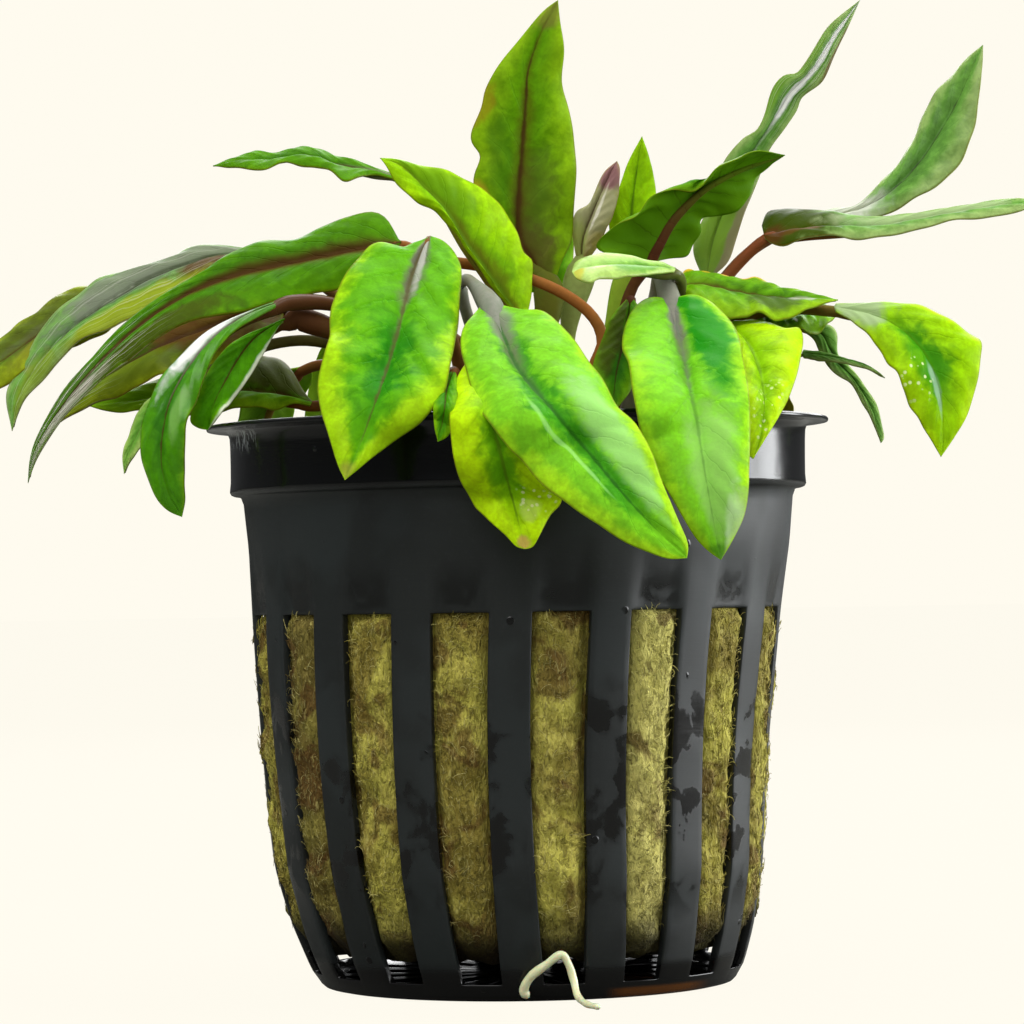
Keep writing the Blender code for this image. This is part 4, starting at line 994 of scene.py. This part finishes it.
def wall_radius(height):
    """Outer radius of the wall, on a smooth curve through the profile."""
    h = np.asarray(height, float)
    total = 0
    for offset in (-0.8, -0.4, 0, 0.4, 0.8):
        total = total + np.interp(np.maximum(h + offset, 0), PROFILE_HEIGHTS, PROFILE_RADII)
    return total / 5


def lean(height):
    """How far the soft wall stands to the right of the base's centre."""
    h = np.asarray(height, float)
    return -0.2 * np.minimum(1.0, h / 42.7) - 0.75 * np.sin(np.pi * np.minimum(h, 38.0) / 38.0)


def round_point(radius, angle, height):
    turned = np.radians(np.asarray(angle) + POT_TURN - 90)
    radius, turned, height = np.broadcast_arrays(radius, turned, height)
    return np.stack([radius * np.cos(turned) + lean(height), radius * np.sin(turned), height], -1)


def from_slot_middle(angle):
    """Degrees from the middle of the nearest slot."""
    return np.abs((np.asarray(angle) % PITCH_ANGLE) - PITCH_ANGLE / 2)


def pot_rows():
    """Outer and inner (radius, height) from the floor's disc outwards and up."""
    rows = []
    for radius in (7.0, 8.5, 11.0, 13.5, 16.0):
        rows.append(((radius, 0.0), (radius, FLOOR_HEIGHT)))
    rows.append(((17.2, 0.0), (16.6, FLOOR_HEIGHT)))
    rows.append(((17.75, 0.12), (16.9, 1.05)))
    rows.append(((18.05, 0.4), (17.2, 1.15)))
    for height in [SLOT_BOTTOM, 2.2, 3.0] + list(np.arange(4.0, 32.0, 1.0)) + [SLOT_TOP]:
        outer = float(wall_radius(height))
        rows.append(((outer, height), (outer - WALL, height)))
    for height in (32.6, 33.0, 33.5, 34.1, 34.8, 35.6, 36.5, 37.5, 38.5, 39.5, 40.5, 41.3, 41.9):
        outer = float(wall_radius(height))
        rows.append(((outer, height), (outer - WALL, height)))
    outline = [
        ((24.02, 42.2), (23.2, 42.2)), ((24.1, 42.45), (23.25, 42.4)), ((24.3, 42.6), (23.35, 42.6)),
        ((24.7, 42.62), (23.5, 42.85)), ((24.95, 42.72), (23.75, 43.05)), ((25.08, 42.95), (23.95, 43.3)),
        ((25.05, 43.3), (24.1, 43.7)), ((25.0, 43.8), (24.2, 44.2)), ((25.0, 45.2), (24.2, 45.4)),
        ((25.02, 46.8), (24.22, 46.9)), ((25.06, 47.6), (24.26, 47.9)), ((25.2, 48.0), (24.35, 48.4)),
        ((25.5, 48.17), (24.5, 48.62)), ((26.0, 48.22), (24.8, 48.68)), ((26.6, 48.24), (25.6, 48.7)),
        ((27.0, 48.28), (26.5, 48.7)), ((27.1, 48.38), (27.0, 48.68)),
    ]
    return rows + outline


def build_pot(material):
    rib_steps, slot_steps = 6, 10
    per_rib = rib_steps + slot_steps
    columns = RIB_COUNT * per_rib
    in_slot = np.arange(columns) % per_rib >= rib_steps
    rows = pot_rows()

    def column_angles(radius):
        """The ribs keep their width while the wall narrows."""
        half = min(math.degrees(RIB_HALF_WIDTH / radius), RIB_MOST_ANGLE)
        rib = np.linspace(-half, half, rib_steps, endpoint=False)
        slot = np.linspace(half, PITCH_ANGLE - half, slot_steps, endpoint=False)
        one = np.concatenate([rib, slot])
        return (one[None] + np.arange(RIB_COUNT)[:, None] * PITCH_ANGLE).ravel()

    points = [np.array([(0, 0, 0), (0, 0, FLOOR_HEIGHT)], float)]
    dents = [np.zeros(2)]
    rng = np.random.RandomState(5)
    wander = rng.uniform(0, 6.28, 8)
    for outer, inner in rows:
        angles = column_angles(outer[0])
        window = ease(from_slot_middle(angles), 7.0, 3.2)
        for radius, height in (outer, inner):
            dent = 0.42 * window * ease(height, 39.5, 32.5) * (height > SLOT_TOP - 0.01)
            shape = radius - dent
            if height > 3:
                turn = np.radians(angles)
                wave = 0.06 * np.sin(3 * turn + wander[0]) + 0.05 * np.sin(7 * turn + wander[1])
                shape = shape + wave * ease(height, 3, 8) * ease(height, 48, 40)
                bend = 0.07 * np.sin(height / 5.1 + wander[2] + 5 * turn)
                shape = shape + bend * ease(height, 3, 8) * ease(height, 34, 28)
            points.append(round_point(shape, angles, height))
            above = ease(height, SLOT_TOP - 0.1, SLOT_TOP + 0.8) * ease(height, 37.5, 34)
            dents.append(window * above)
    points = np.vstack(points)

    def out(row, column):
        return 2 + row * 2 * columns + column % columns

    def inn(row, column):
        return out(row, column) + columns

    def is_open(row, column):
        if row < 0 or row >= len(rows) - 1 or not in_slot[column % columns]:
            return False
        low, high = rows[row][0], rows[row + 1][0]
        in_wall = low[1] >= SLOT_BOTTOM and high[1] <= SLOT_TOP
        in_floor = low[0] >= DISC_RADIUS and high[0] <= SPOKE_END_RADIUS and high[1] == 0
        return in_wall or in_floor

    faces = []
    for c in range(columns):
        faces.append((0, out(0, c), out(0, c + 1)))
        faces.append((1, inn(0, c), inn(0, c + 1)))
        for r in range(len(rows) - 1):
            here = is_open(r, c)
            if not here:
                faces.append((out(r, c), out(r, c + 1), out(r + 1, c + 1), out(r + 1, c)))
                faces.append((inn(r, c), inn(r, c + 1), inn(r + 1, c + 1), inn(r + 1, c)))
            if here != is_open(r, c - 1):
                faces.append((out(r, c), out(r + 1, c), inn(r + 1, c), inn(r, c)))
            if here != is_open(r - 1, c):
                faces.append((out(r, c), out(r, c + 1), inn(r, c + 1), inn(r, c)))
        end = len(rows) - 1
        faces.append((out(end, c), out(end, c + 1), inn(end, c + 1), inn(end, c)))
    pot = add_piece(
        "fine_pot", points, faces, material, "pot", {"dent": np.concatenate(dents)}
    )
    bevel = pot.modifiers.new("edges", "BEVEL")
    bevel.width = 0.13 * MM
    bevel.segments = 2
    bevel.limit_method = "ANGLE"
    bevel.angle_limit = math.radians(50)
    bevel.harden_normals = False
    return pot


def pot_material():
    g = Graph("mat_pot")
    parts = g.new("ShaderNodeSeparateXYZ", {0: g.coordinates})
    height = parts.outputs[2]
    broad = g.noise(9, 2, distortion=0.3)
    blot = g.noise(3.2, 5, stretch=(1, 1, 1.2), distortion=0.3, offset=(3, 0, 8))
    fine = g.noise(0.35, 4)
    scratch = g.noise(0.25, 3, stretch=(9, 9, 0.6))
    drops = g.new("ShaderNodeTexVoronoi", {"Vector": g.coordinates, "Scale": 1 / (2.3 * MM)})
    drop = g.span(drops.outputs[0], 0.17, 0.11)
    chosen = g.span(g.noise(3.1, 1, offset=(5, 2, 9)), 0.56, 0.6)
    drop = g.math("MULTIPLY", drop, chosen)
    on_wall = g.span(height, 0.0424, 0.0428, 1.0, 0.0)
    on_rib = g.span(height, 0.029, 0.023)
    band = g.span(height, 0.0426, 0.0431)
    wet = g.math("MULTIPLY", g.span(blot, 0.51, 0.61), on_rib)
    wet = g.math("MULTIPLY", wet, g.span(height, 0.006, 0.012, 0.25, 1.0))
    radius = g.math("SQRT", g.math("ADD", g.math("POWER", parts.outputs[0], 2.0),
                                   g.math("POWER", parts.outputs[1], 2.0)))
    foot = g.span(height, 0.0035, 0.0022)
    # Dark paint in the dents above the slots is painted shade, the darker wall mirrored there; it also makes the dents
    # glossier.
    dent_shade = g.math("MULTIPLY", g.attribute("dent"), g.span(g.noise(1.8, 4, distortion=0.6), 0.3, 0.55))
    film = g.span(broad, 0.4, 0.6)
    body = g.mix(film, colour("1e2323"), colour("151918"))
    body = g.mix(g.span(fine, 0.5, 0.8, 0.0, 0.3), body, colour("2a2e2e"))
    body = g.mix(g.math("MULTIPLY", dent_shade, 0.9), body, colour("060808"))
    body = g.mix(g.math("MAXIMUM", wet, foot), body, colour("0a0a0a"))
    body = g.mix(g.math("MULTIPLY", drop, on_wall), body, colour("050505"))
    # The band under the flange is painted near black: painted shade for the dark leaves it mirrors, while the wall
    # below is lighter with dust.
    body = g.mix(band, body, colour("050606"))
    marks = g.noise(0.4, 3, stretch=(1, 1, 3.0), distortion=0.6, offset=(2, 7, 4))
    chafed = g.math("MULTIPLY", g.span(marks, 0.52, 0.58), g.span(height, 0.0458, 0.0474))
    chafed = g.math("MULTIPLY", chafed, g.span(parts.outputs[0], -0.0215, -0.0235))
    chafed = g.math("MULTIPLY", chafed, g.span(radius, 0.0246, 0.0249))
    chafed = g.math("MULTIPLY", chafed, g.span(height, 0.0482, 0.048))
    chafed = g.math("MULTIPLY", chafed, g.span(parts.outputs[1], 0.0, -0.002))
    body = g.mix(g.math("MULTIPLY", chafed, 0.85), body, colour("a8acac"))
    amber = g.math("MULTIPLY", g.span(height, 0.0011, 0.0007), g.span(parts.outputs[0], 0.006, 0.008))
    amber = g.math("MULTIPLY", amber, g.span(parts.outputs[0], 0.0155, 0.013))
    amber = g.math("MULTIPLY", amber, g.span(parts.outputs[1], -0.004, -0.008))
    body = g.mix(amber, body, colour("5a3208"))
    rough = g.math("ADD", g.span(broad, 0.35, 0.65, 0.4, 0.5), g.math("MULTIPLY", fine, 0.08))
    rough = g.math("ADD", rough, g.math("MULTIPLY", scratch, 0.05))
    gloss = g.math("MAXIMUM", g.math("MAXIMUM", wet, foot), g.math("MULTIPLY", drop, on_wall))
    gloss = g.math("MAXIMUM", gloss, g.math("MULTIPLY", dent_shade, 0.6))
    rough = g.math("MULTIPLY", rough, g.span(gloss, 0.0, 1.0, 1.0, 0.3))
    rough = g.math("MULTIPLY", rough, g.math("SUBTRACT", 1.0, g.math("MULTIPLY", band, 0.66)))
    raised = g.math("ADD", g.math("MULTIPLY", broad, 0.3), g.math("MULTIPLY", scratch, 0.01))
    raised = g.math("ADD", raised, g.math("MULTIPLY", drop, 0.1))
    surface = g.new(
        "ShaderNodeBsdfPrincipled",
        {
            "Base Color": body,
            "Roughness": rough,
            "Normal": g.bump(raised, 1.0, 0.6),
            "Specular IOR Level": 0.5,
        },
    )
    return g.finish(surface.outputs[0])


# ---------------------------------------------------------------- rock wool
WOOL_GAP = 0.35
WOOL_BOTTOM = 3.4
WOOL_TOP = 44.0


def lumps(points, size, seed):
    """Smooth noise between -1 and 1 at points in millimetres, from a few turned waves."""
    rng = np.random.RandomState(seed)
    total = 0
    for _ in range(14):
        way = unit(rng.normal(size=3)) / size * rng.uniform(0.6, 1.8)
        total = total + np.sin(points @ way * 6.28 + rng.uniform(0, 6.28))
    return total / 4.2


def wool_radius(angle, height):
    """The plug swells through each slot like a pillow and stays behind the ribs."""
    away = from_slot_middle(angle)
    inner = wall_radius(height) - WALL - WOOL_GAP
    pillow = 1 - np.clip(away / 6.0, 0, 1) ** 4
    tall = ease(height, WOOL_BOTTOM, WOOL_BOTTOM + 2.2) * ease(height, SLOT_TOP + 0.4, SLOT_TOP - 1.2)
    return inner + (WALL + WOOL_GAP + 0.02) * pillow * tall


# Per-slot wool tones: partly patches of the wool's own, partly painted light, paler on the lit right and darker on the
# front left.
WOOL_TONES_WITH_LIGHT = np.zeros(RIB_COUNT)
WOOL_TONES_WITH_LIGHT[[14, 15, 16, 0, 1, 2, 3]] = (-0.9, -0.15, -0.2, 0.15, 1.0, -0.1, 0.2)


def wool_tone_with_light(angle):
    """How pale the wool is painted in the slot at the angle, partly as painted light."""
    return WOOL_TONES_WITH_LIGHT[(np.asarray(angle) // PITCH_ANGLE).astype(int) % RIB_COUNT]


def wool_surface(angle, height):
    raised = (1.1 - 1.1 * np.sin(np.radians(angle + POT_TURN))) * ease(height, 13.0, WOOL_BOTTOM)
    height = height + raised
    base = round_point(wool_radius(angle, height), angle, height)
    rough = 0.30 * lumps(base, 5.5, 11) + 0.16 * lumps(base, 2.0, 12) + 0.07 * lumps(base, 0.8, 13)
    away = from_slot_middle(angle)
    free = 0.35 + 0.65 * (1 - np.clip(away / 6.0, 0, 1) ** 3)
    return round_point(wool_radius(angle, height) + rough * free - 0.1, angle, height)


def wool_material(name):
    g = Graph(name)
    tint = g.attribute("tint")
    big = g.noise(6.5, 3, distortion=0.5, offset=(2, 5, 1))
    mid = g.noise(2.2, 4, stretch=(1, 1, 1.8), distortion=0.7)
    small = g.noise(0.35, 4, stretch=(1, 1, 2.6), distortion=1.2)
    stain = g.noise(3.4, 4, distortion=0.8, offset=(9, 4, 7))
    height = g.new("ShaderNodeSeparateXYZ", {0: g.coordinates}).outputs[2]
    tone = g.attribute("tone")
    body = g.mix(g.span(big, 0.4, 0.6), colour("8a7c30"), colour("bcb44c"))
    body = g.mix(g.span(mid, 0.5, 0.7, 0.0, 0.6), body, colour("ccc05c"))
    body = g.mix(g.span(mid, 0.45, 0.3, 0.0, 0.5), body, colour("625c22"))
    body = g.mix(g.span(tone, 0.0, 1.0, 0.0, 0.6), body, colour("dcd47c"))
    body = g.mix(g.span(tone, 0.0, -1.0, 0.0, 0.7), body, colour("5a4c20"))
    body = g.mix(g.span(stain, 0.52, 0.64, 0.0, 0.7), body, colour("5a3814"))
    body = g.mix(g.span(small, 0.5, 0.32, 0.0, 0.5), body, colour("40380f"))
    body = g.mix(g.span(small, 0.55, 0.72, 0.0, 0.4), body, colour("d8ce7c"))
    body = g.mix(g.span(tint, 0.6, 1.0, 0.0, 0.6), body, colour("d8ce84"))
    body = g.mix(g.span(tint, 0.3, 0.0, 0.0, 0.5), body, colour("5c4a1c"))
    body = g.mix(g.span(g.math("ADD", height, g.math("MULTIPLY", stain, 0.004)), 0.0105, 0.0065, 0.0, 0.9), body,
                 colour("140c04"))
    normal = g.bump(g.math("ADD", small, mid), 0.5, 0.9)
    surface = g.new(
        "ShaderNodeBsdfPrincipled",
        {"Base Color": body, "Roughness": 0.78, "Normal": normal, "Specular IOR Level": 0.3},
    )
    return g.finish(surface.outputs[0])


def build_wool():
    columns = RIB_COUNT * 28
    angles = np.arange(columns) * 360 / columns
    heights = np.concatenate([[WOOL_BOTTOM], np.linspace(3.8, 33.0, 74), np.linspace(34, 43.4, 10)])
    rings = [wool_surface(angles, np.full(columns, h)) for h in heights]
    floor_rings = []
    for share in (0.9, 0.6, 0.3):
        ring = rings[0] * np.array((share, share, 1))
        ring[:, 2] = WOOL_BOTTOM - 0.1 + 0.25 * lumps(ring, 3.0, 21)
        floor_rings.append(ring)
    top_rings = []
    for share in np.linspace(0.985, 0.04, 26):
        ring = rings[-1] * np.array((share, share, 1))
        ring[:, 2] = WOOL_TOP - 0.3 + 0.35 * lumps(ring, 4.0, 22) + 0.16 * lumps(ring, 1.4, 23)
        top_rings.append(ring)
    everything = floor_rings[::-1] + rings + top_rings
    points = np.vstack(everything)
    faces = grid_faces(len(everything), columns, closed=True)
    faces.append(tuple(range(columns)))
    faces.append(tuple(range(len(points) - columns, len(points))))
    tint = 0.45 + 0.1 * lumps(points, 1.0, 31)
    material = wool_material("mat_wool")
    tone = np.tile(wool_tone_with_light(angles), len(everything))
    add_piece(
        "fine_wool", points, faces, material, "rock_wool", {"tint": tint, "tone": tone}
    )
    return material


FIBRE_STEPS = 5


def fibres(name, starts, outward, spread, lengths, rng, material, lift, tone):
    """Thin curling three-sided strands that lie on the wool."""
    count = len(starts)
    upward = np.tile(np.array((0, 0, 1.0)), (count, 1))
    around = unit(np.cross(upward, outward))
    upward = unit(np.cross(outward, around))
    lean_angle = spread
    way = np.cos(lean_angle)[:, None] * upward + np.sin(lean_angle)[:, None] * around
    curl = rng.normal(0, 0.42, (count, 2))
    at = starts.copy()
    line = [at]
    for step in range(FIBRE_STEPS - 1):
        turned = np.cross(outward, way)
        way = unit(way + turned * curl[:, :1] + outward * curl[:, 1:] * 0.12)
        curl += rng.normal(0, 0.16, (count, 2))
        at = at + way * (lengths / FIBRE_STEPS)[:, None]
        line.append(at)
    path = np.stack(line, 1)
    hump = np.sin(np.linspace(0, np.pi, FIBRE_STEPS))[None, :, None]
    path = path + outward[:, None] * (0.03 + hump * lift[:, None, None])
    radius = rng.uniform(0.02, 0.05, count)[:, None] * np.linspace(1, 0.5, FIBRE_STEPS)[None]
    along = unit(np.gradient(path, axis=1))
    side = unit(np.cross(along, outward[:, None] + 0.01))
    over = np.cross(side, along)
    corners = []
    for angle in (0, 2.094, 4.189):
        corners.append(path + radius[:, :, None] * (math.cos(angle) * side + math.sin(angle) * over))
    points = np.stack(corners, 2).reshape(-1, 3)
    faces = []
    per = FIBRE_STEPS * 3
    for f in range(count):
        faces += grid_faces(FIBRE_STEPS, 3, f * per, closed=True)
        faces.append((f * per, f * per + 1, f * per + 2))
        faces.append((f * per + per - 3, f * per + per - 2, f * per + per - 1))
    tint = np.repeat(rng.uniform(0, 1, count), per)
    fine = {"tint": tint, "tone": np.repeat(tone, per)}
    return add_piece(name, points, faces, material, None, fine)


def build_fibres(material):
    for part in range(4):
        rng = np.random.RandomState(40 + part)
        count = 3000
        slot = rng.randint(0, RIB_COUNT, count)
        angle = (slot + 0.5) * PITCH_ANGLE + rng.uniform(-4.6, 4.6, count)
        height = rng.uniform(WOOL_BOTTOM + 0.3, SLOT_TOP + 0.2, count)
        starts = wool_surface(angle, height)
        outward = round_point(1.0, angle, 0) - round_point(0.0, angle, 0)
        spread = rng.normal(0, 0.6, count) + 0.5 * lumps(starts, 7.0, 51)
        lengths = rng.uniform(0.5, 1.7, count)
        top = np.maximum(SLOT_TOP + 0.2 - height, 0.6)
        lengths = np.minimum(lengths, top + 0.8)
        lift = rng.uniform(0.0, 0.1, count)
        name = f"wool_fibres_{part + 1}"
        fibres(name, starts, outward, spread, lengths, rng, material, lift, wool_tone_with_light(angle))
    rng = np.random.RandomState(60)
    count = 2300
    turn = rng.uniform(0, 360, count)
    radius = 22.2 * np.sqrt(rng.uniform(0, 1, count))
    starts = round_point(radius, turn, WOOL_TOP - 0.2)
    starts[:, 2] += 0.35 * lumps(starts, 4.0, 22)
    outward = np.tile(np.array((0, 0, 1.0)), (count, 1)) + rng.normal(0, 0.05, (count, 3))
    outward = unit(outward)
    upward = rng.uniform(0, 6.28, count)
    lengths = rng.uniform(1.5, 4.5, count)
    top_fibres(starts, outward, upward, lengths, rng, material)


def top_fibres(starts, outward, turn, lengths, rng, material):
    lift = rng.uniform(0.0, 0.35, len(starts))
    tone = np.zeros(len(starts))
    fibres("wool_fibres_top", starts, outward, turn, lengths, rng, material, lift, tone)


# ---------------------------------------------------------------- root and crowns
ROOT_PATH = [
    (-0.2, -19.2, 0.5), (-0.5, -19.4, 1.2), (0.1, -19.9, 2.3), (1.4, -20.3, 3.3), (2.6, -20.6, 4.1),
    (3.2, -20.5, 3.3), (3.6, -20.6, 2.0), (3.9, -21.6, 0.8), (4.6, -24.0, 0.36), (5.6, -26.4, 0.34),
]


def build_root():
    shares = np.linspace(0, 1, 90)
    path = smooth_line(ROOT_PATH, shares)
    radii = 0.40 - 0.16 * shares + 0.02 * np.sin(shares * 40)
    radii = radii * (0.35 + 0.65 * ease(1 - shares, 0, 0.03)) * (0.5 + 0.5 * ease(shares, 0, 0.02))
    points, faces = tube(path, radii, 16)
    g = Graph("mat_root")
    grain = g.noise(0.6, 3)
    tip = g.attribute("tip")
    body = g.mix(grain, colour("d2d6a4"), colour("e8ecc4"))
    body = g.mix(g.span(tip, 0.86, 1.0), body, colour("dff0c8"))
    rough = g.span(grain, 0.3, 0.7, 0.25, 0.4)
    surface = g.new(
        "ShaderNodeBsdfPrincipled",
        {
            "Base Color": body,
            "Roughness": rough,
            "Normal": g.bump(grain, 0.05, 0.6),
            "Subsurface Weight": 0.35,
            "Subsurface Scale": 0.0006,
            "Coat Weight": 0.3,
        },
    )
    add_piece("fine_root", points, faces, g.finish(surface.outputs[0]), "root",
              {"tip": np.repeat(shares, 16)})


def build_crowns():
    g = Graph("mat_crown")
    rings = g.noise(0.6, 4, stretch=(4, 4, 0.7), distortion=0.6)
    patches = g.noise(1.6, 3)
    body = g.mix(rings, colour("3a2413"), colour("7a5a34"))
    body = g.mix(g.span(patches, 0.5, 0.65, 0.0, 0.6), body, colour("6f7430"))
    surface = g.new(
        "ShaderNodeBsdfPrincipled",
        {
            "Base Color": body,
            "Roughness": g.span(patches, 0.3, 0.7, 0.35, 0.6),
            "Normal": g.bump(rings, 0.3, 0.9),
        },
    )
    material = g.finish(surface.outputs[0])
    for name, (across, depth) in CROWNS.items():
        heights = np.linspace(0, 1, 30)
        width = np.interp(heights, (0, 0.25, 0.66, 0.9, 1.0), (1.6, 2.05, 1.95, 1.1, 0.15))
        angles = np.linspace(0, 2 * np.pi, 40, endpoint=False)
        rows = []
        for share, radius in zip(heights, width):
            ring = np.stack([np.cos(angles), np.sin(angles), np.zeros(40)], 1) * radius
            ring[:, 2] = share * 4.8
            ring = ring + np.array((across, depth, CROWN_FOOT - 0.25))
            ridge = 0.1 * math.sin(share * 28) + 0.16 * lumps(ring, 1.6, 71)
            out = np.stack([np.cos(angles), np.sin(angles), np.zeros(40)], 1)
            rows.append(ring + out * ridge[:, None] * (radius > 0.5))
        points = np.vstack(rows)
        faces = grid_faces(30, 40, closed=True)
        faces.append(tuple(range(40)))
        faces.append(tuple(range(29 * 40, 30 * 40)))
        add_piece("fine_crown_" + name, points, faces, material, "crown_" + name)


build_pot(pot_material())
build_fibres(build_wool())
build_root()
build_crowns()


# ---------------------------------------------------------------- floor, light and camera
CREAM = (1.0, 0.965, 0.863, 1.0)
FLOOR_GLOW = 0.984
FLOOR_SHADE = 0.01
FILL_LOW = 0.07
FILL_HIGH = 0.55


def shown_or_felt(tree, shown, felt):
    """What the picture shows of the studio, and what lights and mirrors in the part."""
    path = tree.nodes.new("ShaderNodeLightPath")
    pick = tree.nodes.new("ShaderNodeMixShader")
    tree.links.new(path.outputs["Is Camera Ray"], pick.inputs[0])
    tree.links.new(felt.outputs[0], pick.inputs[1])
    tree.links.new(shown.outputs[0], pick.inputs[2])
    return pick.outputs[0]


def build_floor():
    mesh = bpy.data.meshes.new("floor")
    half = 6.0
    mesh.from_pydata([(-half, -half, 0), (half, -half, 0), (half, half, 0), (-half, half, 0)], [],
                     [(0, 1, 2, 3)])
    g = Graph("mat_floor")
    glow = g.new("ShaderNodeEmission", {"Color": CREAM, "Strength": FLOOR_GLOW})
    matt = g.new("ShaderNodeBsdfDiffuse", {"Color": (FLOOR_SHADE, FLOOR_SHADE, FLOOR_SHADE, 1)})
    both = g.new("ShaderNodeAddShader", {0: glow.outputs[0], 1: matt.outputs[0]})
    felt = g.new("ShaderNodeBsdfDiffuse", {"Color": (0.12, 0.12, 0.11, 1)})
    mesh.materials.append(g.finish(shown_or_felt(g.tree, both, felt)))
    floor = bpy.data.objects.new("floor", mesh)
    floor.location.z = -0.00005
    bpy.context.scene.collection.objects.link(floor)


def build_world():
    world = bpy.data.worlds.new("studio")
    world.use_nodes = True
    tree = world.node_tree
    tree.nodes.clear()
    shown = tree.nodes.new("ShaderNodeBackground")
    shown.inputs["Color"].default_value = CREAM
    place = tree.nodes.new("ShaderNodeTexCoord")
    split = tree.nodes.new("ShaderNodeSeparateXYZ")
    tree.links.new(place.outputs["Generated"], split.inputs[0])
    rise = tree.nodes.new("ShaderNodeMapRange")
    rise.interpolation_type = "SMOOTHSTEP"
    for index, value in ((1, 0.1), (2, 0.9), (3, FILL_LOW), (4, FILL_HIGH)):
        rise.inputs[index].default_value = value
    tree.links.new(split.outputs[2], rise.inputs[0])
    felt = tree.nodes.new("ShaderNodeBackground")
    felt.inputs["Color"].default_value = (0.96, 0.98, 1.0, 1)
    tree.links.new(rise.outputs[0], felt.inputs["Strength"])
    out = tree.nodes.new("ShaderNodeOutputWorld")
    tree.links.new(shown_or_felt(tree, shown, felt), out.inputs["Surface"])
    bpy.context.scene.world = world


def add_light(name, place, size, power, tint=(1, 1, 1), target=(0, 0, 0.05), mirrored=True):
    """A soft square light in metres that looks at the target, and shows in gloss if mirrored."""
    data = bpy.data.lights.new(name, "AREA")
    data.shape = "RECTANGLE"
    data.size, data.size_y = size
    data.energy = power
    data.color = tint
    light = bpy.data.objects.new(name, data)
    light.location = place
    way = Vector(target) - Vector(place)
    light.rotation_euler = way.to_track_quat("-Z", "Y").to_euler()
    light.visible_glossy = mirrored
    bpy.context.scene.collection.objects.link(light)


def build_camera():
    data = bpy.data.cameras.new("camera")
    data.sensor_width = SENSOR
    data.lens = FOCAL / PICTURE * SENSOR
    data.clip_start = 0.01
    camera = bpy.data.objects.new("camera", data)
    columns = [RIGHT, UP, -FORWARD]
    matrix = Matrix.Identity(4)
    for c, axis in enumerate(columns):
        for r in range(3):
            matrix[r][c] = axis[r]
    for r in range(3):
        matrix[r][3] = EYE[r] * MM
    camera.matrix_world = matrix
    bpy.context.scene.collection.objects.link(camera)
    bpy.context.scene.camera = camera
    bpy.context.scene.view_settings.view_transform = "Standard"


build_floor()
build_world()
add_light("light_front", (-0.15, -0.42, 0.62), (0.6, 0.5), 3.8, (1.0, 0.99, 0.96))
add_light("light_low", (-0.1, -0.7, 0.1), (0.8, 0.5), 2.0, (1.0, 0.99, 0.96), mirrored=False)
add_light("light_top", (0.08, 0.14, 0.6), (0.5, 0.4), 2.6, (1.0, 0.99, 0.97))
add_light("light_left", (-0.5, 0.05, 0.25), (0.25, 0.4), 0.8, (0.95, 0.98, 1.0), mirrored=False)
add_light("light_right", (0.52, 0.06, 0.10), (0.54, 0.5), 6.6, (0.97, 0.99, 1.0))
add_light("light_back", (0.1, 0.5, 0.35), (0.6, 0.4), 3.2)
build_camera()
